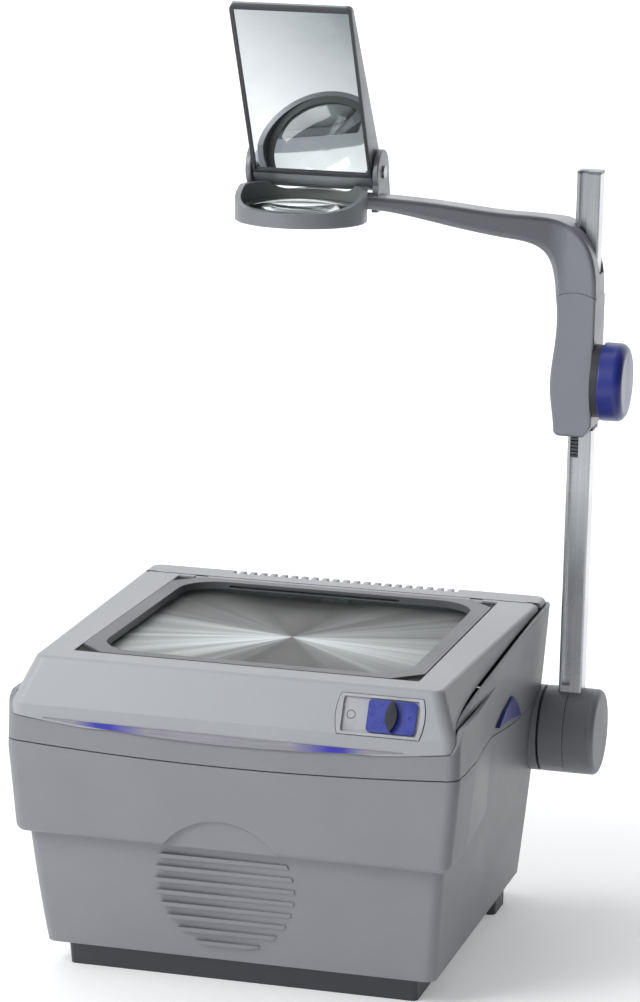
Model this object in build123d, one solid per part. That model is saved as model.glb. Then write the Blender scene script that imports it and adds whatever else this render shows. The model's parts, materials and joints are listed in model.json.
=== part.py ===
from build123d import *
import math
import os

# Overhead projector with a swan-neck head on a folding post.
# Millimetres. X right, Y towards the rear, Z up. The origin is on the table,
# under the centre of the stage, on the optical axis.

# ---------------------------------------------------------------- driving sizes
STAGE_Z = 273.0            # top of the lid
STAGE_OPENING = 263.5      # clear square of the stage, 10 3/8 inch
STAGE_CORNER = 36.0        # rounding of its corners
FRAME_SKIRT = 3.2          # thickness of the stage frame's skirt
GLASS_TOP_Z = 267.0
WALL = 3.0                 # moulded wall thickness
SEAM = 1.0                 # gap where two mouldings meet
CLEAR = 0.4                # gap around a part that moves
FIT = 0.05                 # radial gap of a shaft in its hole

BODY_BOTTOM_Z = 22.0       # underside of the housing, above its feet
BELLY_BOTTOM_Z = 125.0     # underside of the overhanging front
SLOPE_FOOT_Z = 236.0       # where the lid's front starts to lean back
SLOPE_FOOT_Y = -186.5
SLOPE_TOP_Y = -169.0
TOP_REAR_Y = 183.0
LIP_Z = 215.0              # lowest point of the lid's front lip
GROOVE_Z = 197.5           # seam of the two housings, at the front centre

BODY_CORNER = 9.0          # upright corners of the lower body
BELLY_CORNER = 10.0        # upright front corners of the overhang
LID_CORNER = 10.0

GRIP_RADIUS = 60.0         # round grip on the front
GRIP_X = -7.0
GRIP_Z = 91.0
GRIP_DEPTH = 2.6           # recess at the grip's left edge, none at its right edge
RIB_COUNT = 8
RIB_PITCH = 11.0
RIB_HEIGHT = 3.6
RIB_RISE = 1.1

LID_AXIS_Y = 149.0         # lid hinge
LID_AXIS_Z = 266.2
LID_NOSE_R = 6.8
LID_REAR_Y = 146.0
KNUCKLE_X = 126.0
KNUCKLE_LENGTH = 11.0

HUB_Y = 174.4              # post hinge
HUB_Z = 155.5
HUB_RADIUS = 38.0
HUB_FACE_X = 187.0
HUB_SPLIT_X = 209.0
HUB_END_X = 236.0
AXLE_RADIUS = 6.0
AXLE_HEAD_X = (221.0, 227.0)

POST_X = 209.0             # centre of the post
POST_WIDTH = 20.6
POST_DEPTH = 20.0
POST_BOTTOM_Z = 124.0
POST_TOP_Z = 650.0
ARM_CLEAR = 0.6            # gap between the arm and the post
ARM_OPEN_Z = 564.0         # above this the arm leaves the post's right side open
SLOT_X = 205.0             # slot in the post's front face, for the rack
SLOT_WIDTH = 7.0

CARRIAGE_Z = (424.5, 545.0)
CARRIAGE_X = (187.6, 222.7)
CARRIAGE_Y = (144.0, 187.0)
CROWN_RISE = 5.0           # bow of the seam between carriage and arm
CROWN_RADIUS = ((CARRIAGE_X[1] - CARRIAGE_X[0]) ** 2 / 4 + CROWN_RISE ** 2) / (2 * CROWN_RISE)

GEAR_MODULE = 1.0
PINION_TEETH = 18
PINION_Z = 473.0
PINION_Y = POST_DEPTH * -0.5 + HUB_Y + 1.6 - PINION_TEETH * GEAR_MODULE / 2
KNOB_RADIUS = 34.0
KNOB_X = (230.0, 251.0)

HEAD_RADIUS = 55.0         # lens ring
HEAD_Z = (619.0, 646.0)
LENS_RADIUS = 46.0

MIRROR_PIVOT_Y = 48.0      # mirror hinge
MIRROR_PIVOT_Z = 657.0
MIRROR_LEAN = 28.9         # degrees forward of upright
MIRROR_WIDTH = 103.0
MIRROR_LENGTH = 171.0
MIRROR_ROOT_R = 16.0       # rounded thick end, about the hinge
MIRROR_TIP_R = 3.5
MIRROR_CORNER = 6.0
EAR_RADIUS = 19.0
EAR_X = (52.6, 57.6)

LAMP_Z = 108.0
CONDENSER_RADIUS = 45.0
CENTRE_FOOT_RADIUS = 12.0  # middle support, under the lamp
PAD_HEIGHT = 1.5           # rubber pads under the feet
FAN_X = -141.0
FAN_Y = 20.0
FAN_Z = 92.0

PARTS = {}


# ---------------------------------------------------------------- helpers
def block(x0, x1, y0, y1, z0, z1):
    """Box from its two corners."""
    centre = Pos((x0 + x1) / 2, (y0 + y1) / 2, (z0 + z1) / 2)
    return centre * Box(x1 - x0, y1 - y0, z1 - z0)


def rod_x(radius, x0, x1, y, z):
    """Cylinder along X."""
    return Pos((x0 + x1) / 2, y, z) * Rot(0, 90, 0) * Cylinder(radius, x1 - x0)


def rod_y(radius, x, y0, y1, z):
    """Cylinder along Y."""
    return Pos(x, (y0 + y1) / 2, z) * Rot(90, 0, 0) * Cylinder(radius, y1 - y0)


def rod_z(radius, x, y, z0, z1):
    """Cylinder along Z."""
    return Pos(x, y, (z0 + z1) / 2) * Cylinder(radius, z1 - z0)


def tube_z(outer, inner, z0, z1):
    """Ring about the optical axis."""
    return rod_z(outer, 0, 0, z0, z1) - rod_z(inner, 0, 0, z0 - 1, z1 + 1)


def prism_x(face_yz, x0, x1):
    """Face drawn as (y, z), run along X."""
    drawn = Plane.YZ.offset(x0) * face_yz
    return extrude(drawn, amount=x1 - x0, dir=(1, 0, 0))


def prism_y(face_xz, y0, y1):
    """Face drawn as (x, z), run along Y."""
    drawn = Plane((0, y0, 0), x_dir=(1, 0, 0), z_dir=(0, -1, 0)) * face_xz
    return extrude(drawn, amount=y1 - y0, dir=(0, 1, 0))


def rounded_slab(width, depth, radius, z0, z1, x=0.0, y=0.0):
    """Upright block with rounded corners."""
    return extrude(Pos(x, y, z0) * RectangleRounded(width, depth, radius), amount=z1 - z0)


def dome(radius, sag, top):
    """Ball whose cap of that radius and sag peaks at the given height on the axis."""
    ball_radius = (radius ** 2 + sag ** 2) / (2 * sag)
    return Pos(0, 0, top - ball_radius) * Sphere(ball_radius)


def bowl(radius, sag, bottom):
    """Ball whose cap of that radius and sag hangs to the given height on the axis."""
    ball_radius = (radius ** 2 + sag ** 2) / (2 * sag)
    return Pos(0, 0, bottom + ball_radius) * Sphere(ball_radius)


def add(name, shape):
    """Register a finished piece under its node name."""
    PARTS[name] = shape


# ---------------------------------------------------------------- outer forms
def body_form(grow=0.0, bottom=BODY_BOTTOM_Z, top=STAGE_Z):
    """Lower body: leans outwards as it rises."""
    levels = [
        (BODY_BOTTOM_Z, 167.0, -148.0, 174.0),
        (BELLY_BOTTOM_Z, 176.2, -170.0, 178.5),
        (STAGE_Z, 186.0, -181.0, 187.0),
    ]
    faces = []
    for z, half_x, front, rear in levels:
        width = 2 * (half_x + grow)
        depth = rear - front + 2 * grow
        outline = RectangleRounded(width, depth, BODY_CORNER + grow)
        faces.append(Pos(0, (front + rear) / 2, z) * outline)
    form = loft([face.face() for face in faces])
    return form & block(-250, 250, -250, 250, bottom, top)


def belly_form(grow=0.0, bottom=BELLY_BOTTOM_Z, top=STAGE_Z - 30):
    """Overhanging front, which fades out along the sides."""
    levels = [
        (BELLY_BOTTOM_Z, 184.0, -182.0, 175.5),
        (GROOVE_Z, 190.5, -186.0, 180.0),
        (STAGE_Z - 30, 190.0, -185.5, 183.0),
    ]
    fade_y = -5.0
    bend_y = -120.0
    faces = []
    for z, half_x, front, root in levels:
        half = half_x + grow
        right = [(root, fade_y), (half, bend_y), (half, front - grow)]
        left = [(-x, y) for x, y in reversed(right)]
        outline = Polyline(*right, *left, close=True)
        face = make_face(outline)
        front_corners = face.vertices().sort_by(Axis.Y)[:2]
        faces.append(Pos(0, 0, z) * fillet(front_corners, BELLY_CORNER))
    form = loft([face.face() for face in faces], ruled=True)
    return form & block(-250, 250, -250, 250, bottom, top)


def lid_form(grow=0.0):
    """Top plate, sloped front and shoulders."""
    levels = [
        (LIP_Z - 10, 187.5, 184.5, SLOPE_FOOT_Y - 1.5),
        (SLOPE_FOOT_Z, 187.0, 184.5, SLOPE_FOOT_Y),
        (STAGE_Z, 171.0, 182.5, SLOPE_TOP_Y),
    ]
    faces = []
    for z, front_half, rear_half, front in levels:
        outline = Polyline(
            (-front_half - grow, front - grow),
            (front_half + grow, front - grow),
            (rear_half + grow, TOP_REAR_Y + grow),
            (-rear_half - grow, TOP_REAR_Y + grow),
            close=True,
        )
        face = make_face(outline)
        faces.append(Pos(0, 0, z) * fillet(face.vertices(), LID_CORNER))
    return loft([face.face() for face in faces], ruled=True)


def lid_shell_form():
    """Lid form with its upper edges softened."""
    form = lid_form()
    top_edges = form.faces().sort_by(Axis.Z)[-1].edges()
    return fillet(top_edges, 4.0)


def smile(x, middle, ends):
    """Height of a shallow curve that rises towards both corners."""
    return middle + (ends - middle) * (x / 185.0) ** 2


def above_smile(middle, ends, top=STAGE_Z + 20):
    """Everything above a shallow front curve."""
    stations = [-240, -185, -90, 0, 90, 185, 240]
    curve = Spline(*[(x, smile(x, middle, ends)) for x in stations])
    outline = curve + Polyline(curve @ 1, (240, top), (-240, top), curve @ 0)
    return prism_y(make_face(outline), -230, 230)


def above_side_seam(drop=0.0):
    """Everything above the lid's side seam, which sweeps down to the front corner."""
    points = [(-196, 196), (-186.5, 222), (-176, 239.5), (-149, 249), (-42, 258), (146, 267.5), (240, 268)]
    curve = Spline(*[(y, z - drop) for y, z in points])
    outline = curve + Polyline(curve @ 1, (240, STAGE_Z + 20), (-196, STAGE_Z + 20), curve @ 0)
    return prism_x(make_face(outline), -230, 230)


def above_groove(lift=0.0):
    """Everything above the seam between the two housings."""
    points = [(-230, 206), (-186, 204), (-97, 203), (-23, 198), (68, 187), (150, 184.5), (240, 184.5)]
    curve = Spline(*[(y, z + lift) for y, z in points])
    outline = curve + Polyline(curve @ 1, (240, STAGE_Z + 20), (-230, STAGE_Z + 20), curve @ 0)
    rear = prism_x(make_face(outline), -230, 230)
    behind_front = block(-230, 230, -165, 240, 0, STAGE_Z + 20)
    front = above_smile(GROOVE_Z + lift, GROOVE_Z + 6.5 + lift) & block(-230, 230, -230, -165, 0, 400)
    return (rear & behind_front) + front


# ---------------------------------------------------------------- lid
def slope_plane():
    """Plane of the lid's sloped front, at the height of the switch."""
    switch_z = 251.0
    run = SLOPE_TOP_Y - SLOPE_FOOT_Y
    rise = STAGE_Z - SLOPE_FOOT_Z
    length = math.hypot(run, rise)
    share = (switch_z - SLOPE_FOOT_Z) / rise
    origin = (0, SLOPE_FOOT_Y + share * run, switch_z)
    return Plane(origin, x_dir=(1, 0, 0), z_dir=(0, -rise / length, run / length))


SWITCH_X = 124.0
SWITCH_WIDTH = 68.0
SWITCH_HEIGHT = 34.0
SLIDER_X = 134.0
SLIDER_TRAVEL = 16.0
FIN_BULGE = 4.8            # half the greatest thickness of the slider's thumb fin
STEM_WIDTH = 4.0           # slider stem, through the bezel into the switch
STEM_DEPTH = 8.0
STEM_SLOT = (SLIDER_TRAVEL + STEM_WIDTH + 1, STEM_DEPTH + 1)


def lens_outline(width, height, bulge):
    """Rectangle whose two ends bow outwards."""
    half_w = width / 2
    half_h = height / 2
    right = ThreePointArc((half_w, -half_h), (half_w + bulge, 0), (half_w, half_h))
    left = ThreePointArc((-half_w, half_h), (-half_w - bulge, 0), (-half_w, -half_h))
    top = Line(right @ 1, left @ 0)
    bottom = Line(left @ 1, right @ 0)
    return make_face(right + top + left + bottom)


def lid_nose():
    """Round rear edge of the lid, about the hinge axis, notched for the fixed knuckles."""
    nose = rod_x(LID_NOSE_R, -176, 176, LID_AXIS_Y, LID_AXIS_Z)
    for side in (-1, 1):
        gap = KNUCKLE_LENGTH / 2 + CLEAR
        centre = side * KNUCKLE_X
        nose -= block(centre - gap, centre + gap, LID_AXIS_Y - 9, LID_AXIS_Y + 9, 250, 280)
        nose -= rod_x(2 + FIT, *sorted((side * 105, side * 147)), LID_AXIS_Y, LID_AXIS_Z)
    return nose


def make_stage_lid():
    """Lid moulding: open below, with the stage ledge and the switch window cut through."""
    outer = lid_shell_form() & above_side_seam() & above_smile(LIP_Z, LIP_Z + 12)
    outer &= block(-230, 230, -230, LID_REAR_Y, 150, 300)
    inner = lid_form(-WALL) & block(-250, 250, -250, LID_REAR_Y - WALL, 150, STAGE_Z - WALL)
    shell = outer - inner
    for side in (-1, 1):
        gap = KNUCKLE_LENGTH / 2 + CLEAR
        centre = side * KNUCKLE_X
        shell -= block(centre - gap, centre + gap, LID_AXIS_Y - 9, LID_AXIS_Y + 9, 250, 280)
        shell -= rod_x(2 + FIT, *sorted((side * 105, side * 147)), LID_AXIS_Y, LID_AXIS_Z)
    shell += lid_nose()
    shell -= rounded_slab(293, 288, 3, STAGE_Z - 2.5, STAGE_Z + 5)
    shell -= rounded_slab(278, 273, 3, STAGE_Z - 12, STAGE_Z + 5)
    window = slope_plane() * (Pos(SWITCH_X, 0, -10) * lens_outline(SWITCH_WIDTH, SWITCH_HEIGHT, 3))
    shell -= extrude(window, amount=20)
    add("stage_lid", shell)


def stage_hole(grow, z0, z1):
    """Square with large rounded corners: the clear opening of the stage, grown or shrunk."""
    side = STAGE_OPENING + 2 * grow
    return rounded_slab(side, side, STAGE_CORNER + grow, z0, z1)


def make_stage_frame():
    """Square frame let into the lid, with clipped corners over a black gasket."""
    z0 = STAGE_Z - 1.6
    plate = rounded_slab(291, 286, 2, z0, STAGE_Z + 0.4)
    clip = 32.0
    for sx in (-1, 1):
        for sy in (-1, 1):
            plate -= Pos(sx * 145.5, sy * 143, STAGE_Z) * Rot(0, 0, 45) * Box(clip, clip, 10)
    plate += stage_hole(FRAME_SKIRT, GLASS_TOP_Z, z0)
    plate -= stage_hole(0, GLASS_TOP_Z - 1, STAGE_Z + 5)
    slot = block(-95, 60, 130, 137, STAGE_Z - 4.6, STAGE_Z - 2.6)
    add("stage_frame", plate - slot)

    gasket = rounded_slab(292.4, 287.4, 3, STAGE_Z - 2.5, z0)
    add("stage_gasket", gasket - stage_hole(FRAME_SKIRT + 1, STAGE_Z - 4, STAGE_Z))


def make_stage_optics():
    """Glass with a rebated rim, the ringed lens under it, and the four clips that hold both."""
    glass = rounded_slab(269, 269, 8, STAGE_Z - 10, GLASS_TOP_Z - 0.5)
    glass += stage_hole(-0.3, GLASS_TOP_Z - 0.5, GLASS_TOP_Z)
    add("stage_glass", glass)
    fresnel = rounded_slab(269, 269, 8, STAGE_Z - 12.2, STAGE_Z - 10)
    pitch = 11.0
    for ring in range(1, 12):
        radius = ring * pitch
        fresnel -= tube_z(radius + 0.8, radius, STAGE_Z - 12.5, STAGE_Z - 11.8)
    add("fresnel_lens", fresnel)

    clips = []
    for angle in range(4):
        foot = block(130, 141.8, -12, 12, STAGE_Z - 13.8, STAGE_Z - 12.2)
        post = block(139.2, 141.8, -12, 12, STAGE_Z - 12.2, STAGE_Z - WALL)
        clips.append(Rot(0, 0, 90 * angle) * (foot + post))
    add("lens_clips", Compound(children=[clip.solid() for clip in clips]))


def make_accent_strip():
    """Thin lens-shaped strip above the lip, with two inlays let into it."""
    stations = [-158, -80, 0, 80, 146]
    span = 152.0
    middle_x = -6.0
    lower = Spline(*[(x, smile(x, LIP_Z, LIP_Z + 12) + 2.2) for x in stations])
    upper_points = []
    for x in stations:
        swell = 7.5 * (1 - ((x - middle_x) / span) ** 2)
        upper_points.append((x, smile(x, LIP_Z, LIP_Z + 12) + 2.2 + swell))
    upper = Spline(*reversed(upper_points))
    face = make_face(lower + upper)
    skin = lid_form(0.7) - lid_form()
    strip = (prism_y(face, -200, -176) & skin)
    patches = block(-118, -92, -200, -170, 200, 240) + block(72, 106, -200, -170, 200, 240)
    add("accent_strip", strip - patches)
    pieces = (strip & patches).solids()
    add("accent_inlays", Compound(children=list(pieces)))


def make_switch():
    """Bow-ended bezel in the sloped front, and the switch block behind it."""
    plane = slope_plane()
    outline = lens_outline(SWITCH_WIDTH - 0.8, SWITCH_HEIGHT - 0.8, 2.8)
    bezel = extrude(plane * (Pos(SWITCH_X, 0, -6) * outline), amount=6.8)
    opening = plane * (Pos(SLIDER_X - SLIDER_TRAVEL / 2, 0, -1.6) * Rectangle(66.6, 29))
    pocket = extrude(opening, amount=5)
    bezel -= pocket & extrude(plane * (Pos(SWITCH_X, 0, -2) * lens_outline(61, 28.6, 2.2)), amount=6)
    stem_slot = plane * (Pos(SLIDER_X - SLIDER_TRAVEL / 2, 0, -7) * Rectangle(*STEM_SLOT))
    bezel -= extrude(stem_slot, amount=8)
    add("switch_bezel", bezel)

    body = plane * (Pos(SLIDER_X - SLIDER_TRAVEL / 2, 0, -24) * Rectangle(52, 24))
    housing = extrude(body, amount=17.8)
    slot = plane * (Pos(SLIDER_X - SLIDER_TRAVEL / 2, 0, -14) * Rectangle(*STEM_SLOT))
    housing -= extrude(slot, amount=12)
    for offset in (-18, -6, 6, 18):
        lug = plane * (Pos(SLIDER_X - SLIDER_TRAVEL / 2 + offset, 0, -32) * Rectangle(1, 6))
        housing += extrude(lug, amount=8)
    add("switch_body", housing)


def make_power_slider():
    """Sliding plate with an upright thumb fin."""
    plane = slope_plane()
    plate = plane * (Pos(SLIDER_X - 0.5, 0, -1.2) * RectangleRounded(40, 26.4, 3))
    slider = extrude(plate, amount=2.4)
    half_height = 12.6
    right = ThreePointArc((0, -half_height), (FIN_BULGE, 0), (0, half_height))
    left = ThreePointArc((0, half_height), (-FIN_BULGE, 0), (0, -half_height))
    fin_face = plane * (Pos(SLIDER_X, 0, 1.2) * make_face(right + left))
    slider += extrude(fin_face, amount=5.5)
    stem = plane * (Pos(SLIDER_X, 0, -12) * Rectangle(STEM_WIDTH, STEM_DEPTH))
    slider += extrude(stem, amount=11)
    for x in (SLIDER_X - 15.5, SLIDER_X + 15.0):
        dimple = plane * (Pos(x, 0, 0.7) * Circle(1.6))
        slider -= extrude(dimple, amount=2)
    add("power_slider", slider)


# ---------------------------------------------------------------- housings
def cavity():
    """Hollow inside both housings."""
    inside = body_form(-WALL)
    chest = belly_form(-WALL - 1.5, bottom=BELLY_BOTTOM_Z + 38, top=STAGE_Z - 30)
    return inside + chest


def grip_disc(radius):
    """Cylinder through the front wall, over the round grip."""
    return rod_y(radius, GRIP_X, -230, -140, GRIP_Z)


def grip_scoop():
    """Finger recess in the belly, inside the grip's circle: deepest at the lower edge."""
    top = GRIP_Z + GRIP_RADIUS + 1
    wedge = Polyline((-178, 118), (-176.5, BELLY_BOTTOM_Z), (-181.4, top), (-230, top), (-230, 118),
                     close=True)
    return prism_x(make_face(wedge), -80, 80) & grip_disc(GRIP_RADIUS)


def grip_floor(grow=0.0):
    """Body turned a little about the grip's right edge, so that it lies deeper towards the left."""
    tilt = math.degrees(math.atan2(GRIP_DEPTH, 2 * GRIP_RADIUS))
    edge_x = GRIP_X + GRIP_RADIUS
    edge_y = -163.0
    turn = Pos(edge_x, edge_y, 0) * Rot(0, 0, tilt) * Pos(-edge_x, -edge_y, 0)
    return turn * body_form(grow, top=BELLY_BOTTOM_Z - 2)


def grip_recess():
    """Shallow round recess in the front wall under the belly."""
    zone = grip_disc(GRIP_RADIUS) & block(-80, 80, -230, -140, BODY_BOTTOM_Z, BELLY_BOTTOM_Z - 2)
    return zone - grip_floor()


def grip_ribs():
    """Level ribs on the lower half of the grip."""
    layer = (grip_floor(RIB_RISE) - grip_floor(-1)) & grip_disc(GRIP_RADIUS - 1)
    first_z = GRIP_Z - GRIP_RADIUS + 6
    ribs = []
    for index in range(RIB_COUNT):
        z = first_z + index * RIB_PITCH
        ribs.append(layer & block(-80, 80, -230, -120, z - RIB_HEIGHT / 2, z + RIB_HEIGHT / 2))
    return ribs


def pivot_lug_clearance(radius):
    """Round space around the axle, through the corner of the housing."""
    return rod_x(radius, 140, 190, HUB_Y, HUB_Z)


def side_vents(x):
    """Air slots in one side wall."""
    slots = []
    for index in range(12):
        y = FAN_Y - 44 + index * 8
        slots.append(block(x - 12, x + 12, y - 2, y + 2, FAN_Z - 40, FAN_Z + 40))
    return slots


def outer_body():
    """Lower body and overhang as one solid form, its lower front edge rounded."""
    belly = belly_form()
    low_edges = belly.faces().sort_by(Axis.Z)[0].edges().filter_by(
        lambda edge: edge.center().Y < -30)
    belly = fillet(low_edges, 7.0)
    return body_form() + belly


def button_face(grow=0.0):
    """Triangle in the side wall, with bowed sides, drawn as (y, z)."""
    corners = [(-13, 203.5), (10, 212.0), (40, 217.5), (59, 206.5), (75, 192.5), (32, 200.0)]
    face = make_face(Polyline(*corners, close=True))
    if grow:
        face = offset(face, grow, kind=Kind.INTERSECTION)
    return face


def make_housings():
    """Lower and upper housings, hollowed out and parted along the groove."""
    solid = outer_body() - cavity()
    splitter = above_groove()
    lower = solid - splitter
    lower -= grip_scoop()
    lower -= grip_recess()
    for rib in grip_ribs():
        lower += rib
    lower -= pivot_lug_clearance(13)
    for slot in side_vents(-171):
        lower -= slot
    lower -= block(-125, -95, 165, 190, 48, 72)
    add("lower_housing", lower)

    lid_space = above_side_seam(SEAM) & above_smile(LIP_Z - SEAM, LIP_Z + 12 - SEAM)
    upper = (solid & above_groove(SEAM)) - lid_space
    for side in (-1, 1):
        upper -= prism_x(button_face(CLEAR), *sorted((side * 165, side * 200)))
    add("upper_housing", upper)


def make_rear_cover():
    """Fixed strip behind the lid, with vent ribs and the lid's knuckles."""
    outer = lid_shell_form() & block(-230, 230, LID_REAR_Y + SEAM, 230, 236, 300)
    inner = lid_form(-WALL) & block(-250, 250, 0, 230, 200, STAGE_Z - WALL)
    shell = (outer & above_side_seam()) - inner
    shell -= rod_x(LID_NOSE_R + CLEAR, -178, 178, LID_AXIS_Y, LID_AXIS_Z)
    shell -= block(-178, 178, LID_REAR_Y, LID_AXIS_Y + 2.5, 230, 300)
    for side in (-1, 1):
        shell -= rod_x(8.2, *sorted((side * 170, side * 200)), LID_AXIS_Y, LID_AXIS_Z)
    slot_count = 22
    pitch = 9.6
    for index in range(slot_count):
        x = (index - (slot_count - 1) / 2) * pitch
        shell -= block(x - 2.6, x + 2.6, 169, 200, 268, 280)
    lip = block(-165, 165, 160, 164, STAGE_Z - 14, STAGE_Z - WALL)
    shell += lip
    for side in (-1, 1):
        x0 = side * KNUCKLE_X - KNUCKLE_LENGTH / 2
        x1 = side * KNUCKLE_X + KNUCKLE_LENGTH / 2
        knuckle = rod_x(LID_NOSE_R - 0.6, x0, x1, LID_AXIS_Y, LID_AXIS_Z)
        knuckle += block(x0, x1, LID_AXIS_Y, 164, LID_AXIS_Z - 6, LID_AXIS_Z + 2)
        knuckle -= rod_x(2, x0 - 1, x1 + 1, LID_AXIS_Y, LID_AXIS_Z)
        shell += knuckle
    add("rear_cover", shell)

    pins = [rod_x(2, *sorted((s * 106, s * 146)), LID_AXIS_Y, LID_AXIS_Z).solid() for s in (-1, 1)]
    add("lid_hinge_pins", Compound(children=pins))


def make_release_button(name, side):
    """Triangular push button with a flange behind the wall."""
    cap = prism_x(button_face(), *sorted((side * 176.5, side * 185.4)))
    flange = prism_x(button_face(1.6), *sorted((side * 173.0, side * 176.5)))
    stem = rod_x(5, *sorted((side * 163, side * 173)), 34, 205)
    add(name, cap + flange + stem)


# ---------------------------------------------------------------- underside
def make_base():
    """Base plate, front foot bar, rear feet, rubber pads and screws."""
    plate = body_form(-WALL - 0.1, top=BODY_BOTTOM_Z + 3)
    for index in range(9):
        y = -60 + index * 15
        plate -= block(-45, 45, y - 3, y + 3, 15, 30)
    plate += rod_z(CENTRE_FOOT_RADIUS, 0, 0, PAD_HEIGHT, BODY_BOTTOM_Z + 3)
    add("base_plate", plate)

    side_profile = Polyline((-141, 22), (-135, 0), (-79, 0), (-76, 22), close=True)
    bar = prism_x(make_face(side_profile), -150, 150)
    bar = fillet(bar.edges().filter_by(Axis.Z, tolerance=20), 5)
    bar -= block(-142, 142, -128, -84, 2.5, 19)
    for side in (-1, 1):
        bar -= rod_z(11, side * 130, -107, -1, PAD_HEIGHT)
    add("front_foot_bar", bar)

    feet = []
    for side in (-1, 1):
        foot = rounded_slab(16, 40, 5, 0, BODY_BOTTOM_Z, x=side * 153, y=124)
        foot -= rounded_slab(10.4, 30.4, 3, -1, PAD_HEIGHT, x=side * 153, y=124)
        feet.append(foot.solid())
    add("rear_feet", Compound(children=feet))

    pads = [rod_z(10.6, side * 130, -107, 0, PAD_HEIGHT).solid() for side in (-1, 1)]
    pads.append(rod_z(CENTRE_FOOT_RADIUS, 0, 0, 0, PAD_HEIGHT).solid())
    for side in (-1, 1):
        pads.append(rounded_slab(10, 30, 3, 0, PAD_HEIGHT, x=side * 153, y=124).solid())
    add("rubber_pads", Compound(children=pads))

    screws = []
    for x in (-120, 120):
        for y in (-20, 150):
            head = rod_z(4, x, y, BODY_BOTTOM_Z - 1.6, BODY_BOTTOM_Z)
            head -= block(x - 3, x + 3, y - 0.5, y + 0.5, BODY_BOTTOM_Z - 2, BODY_BOTTOM_Z - 1)
            screws.append(head.solid())
    add("base_screws", Compound(children=screws))


# ---------------------------------------------------------------- light engine
def make_light_engine():
    """Lamp on its bracket, reflector, lamp house, condenser and transformer."""
    floor = BODY_BOTTOM_Z + 3
    bracket = block(-30, 30, -22, 22, floor, floor + 3) + block(-16, 16, -16, 16, floor + 3, 62)
    add("lamp_bracket", bracket)
    socket = rod_z(13, 0, 0, 62, 84) - rod_z(7.2, 0, 0, 74, 85)
    add("lamp_socket", socket)
    lamp = rod_z(6.5, 0, 0, 74, 92) + rod_z(9, 0, 0, 92, 112)
    lamp += Pos(0, 0, 112) * Sphere(9)
    add("lamp", lamp)

    centre = Pos(0, 0, LAMP_Z + 8)
    mirror = centre * Sphere(45) - centre * Sphere(42.5)
    mirror &= rod_z(60, 0, 0, 60, 92)
    add("reflector", mirror - rod_z(14, 0, 0, 55, 120))

    house = block(-62, 62, -62, 62, floor, 168) - block(-60.4, 60.4, -60.4, 60.4, floor - 1, 166.4)
    house -= rod_z(43, 0, 0, 160, 175)
    for side in (-1, 1):
        for index in range(5):
            z = 70 + index * 18
            house -= block(side * 61 - 3, side * 61 + 3, -45, 45, z - 4, z + 4)
    house_rails = block(-60.4, -46.2, -8, 8, 84, 88) + block(46.2, 60.4, -8, 8, 84, 88)
    add("lamp_house", house + house_rails)

    add("condenser_lens", rod_z(CONDENSER_RADIUS, 0, 0, 168, 187) & dome(CONDENSER_RADIUS, 14, 187))

    core = block(78, 150, -100, -52, floor, floor + 58)
    core -= block(90, 106, -101, -51, floor + 12, floor + 46)
    core -= block(122, 138, -101, -51, floor + 12, floor + 46)
    add("transformer_core", core)
    coil = block(90.3, 137.7, -114, -38, floor + 12.3, floor + 45.7)
    coil -= block(105.7, 122.3, -100.3, -51.7, floor, floor + 60)
    coil = coil - block(80, 150, -100.3, -51.7, floor, floor + 12)
    add("transformer_coil", coil)


def make_fan():
    """Axial fan: framed housing, its bracket and the bladed rotor."""
    x0 = FAN_X - 12.5
    x1 = FAN_X + 12.5
    frame = block(x0, x1, FAN_Y - 46, FAN_Y + 46, FAN_Z - 46, FAN_Z + 46)
    frame -= rod_x(43.5, x0 - 1, x1 + 1, FAN_Y, FAN_Z)
    motor = rod_x(17, x0, x0 + 7, FAN_Y, FAN_Z)
    for index in range(4):
        arm = block(x0, x0 + 3, -2, 2, 16, 45)
        motor += Pos(0, FAN_Y, FAN_Z) * Rot(45 + 90 * index, 0, 0) * arm
    stub = rod_x(2, x0 + 7, x1 - 6, FAN_Y, FAN_Z)
    add("fan_housing", frame + motor + stub)
    base = block(x0, x1, FAN_Y - 40, FAN_Y + 40, BODY_BOTTOM_Z + 3, FAN_Z - 46)
    base -= block(x0 + 3, x1 + 3, FAN_Y - 34, FAN_Y + 34, BODY_BOTTOM_Z + 5, FAN_Z - 50)
    add("fan_bracket", base)

    rotor = rod_x(18, x0 + 7.6, x1 - 2, FAN_Y, FAN_Z)
    blade_count = 7
    for index in range(blade_count):
        blade = Rot(0, 0, 35) * Box(16, 1.4, 25.5)
        blade = Pos(x0 + 15.5, 0, 29) * blade
        rotor += Pos(0, FAN_Y, FAN_Z) * Rot(360 / blade_count * index, 0, 0) * blade
    rotor -= rod_x(2 + FIT, x0, x1 - 5.5, FAN_Y, FAN_Z)
    add("fan_rotor", rotor)


def make_inlet():
    """Mains inlet: flanged socket with three flat pins."""
    inlet = block(-123.5, -96.5, 150, 183, 49.5, 70.5) + block(-129, -91, 180, 183, 44, 76)
    inlet -= block(-122, -98, 163, 184, 52, 68)
    for x in (-117, -110, -103):
        inlet += block(x - 2, x + 2, 162, 178, 59.2, 60.8)
    add("power_inlet", inlet)


def make_interlock():
    """Switch that cuts the lamp when the lid opens, on an arm from the side wall."""
    body = block(140, 162, -70, -58, 225, 241) - block(144, 158, -72, -56, 225, 229)
    body += block(140, 144, -70, -58, 241, 245)
    add("interlock_switch", body + block(162, 182.6, -68, -60, 230, 234))


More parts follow.
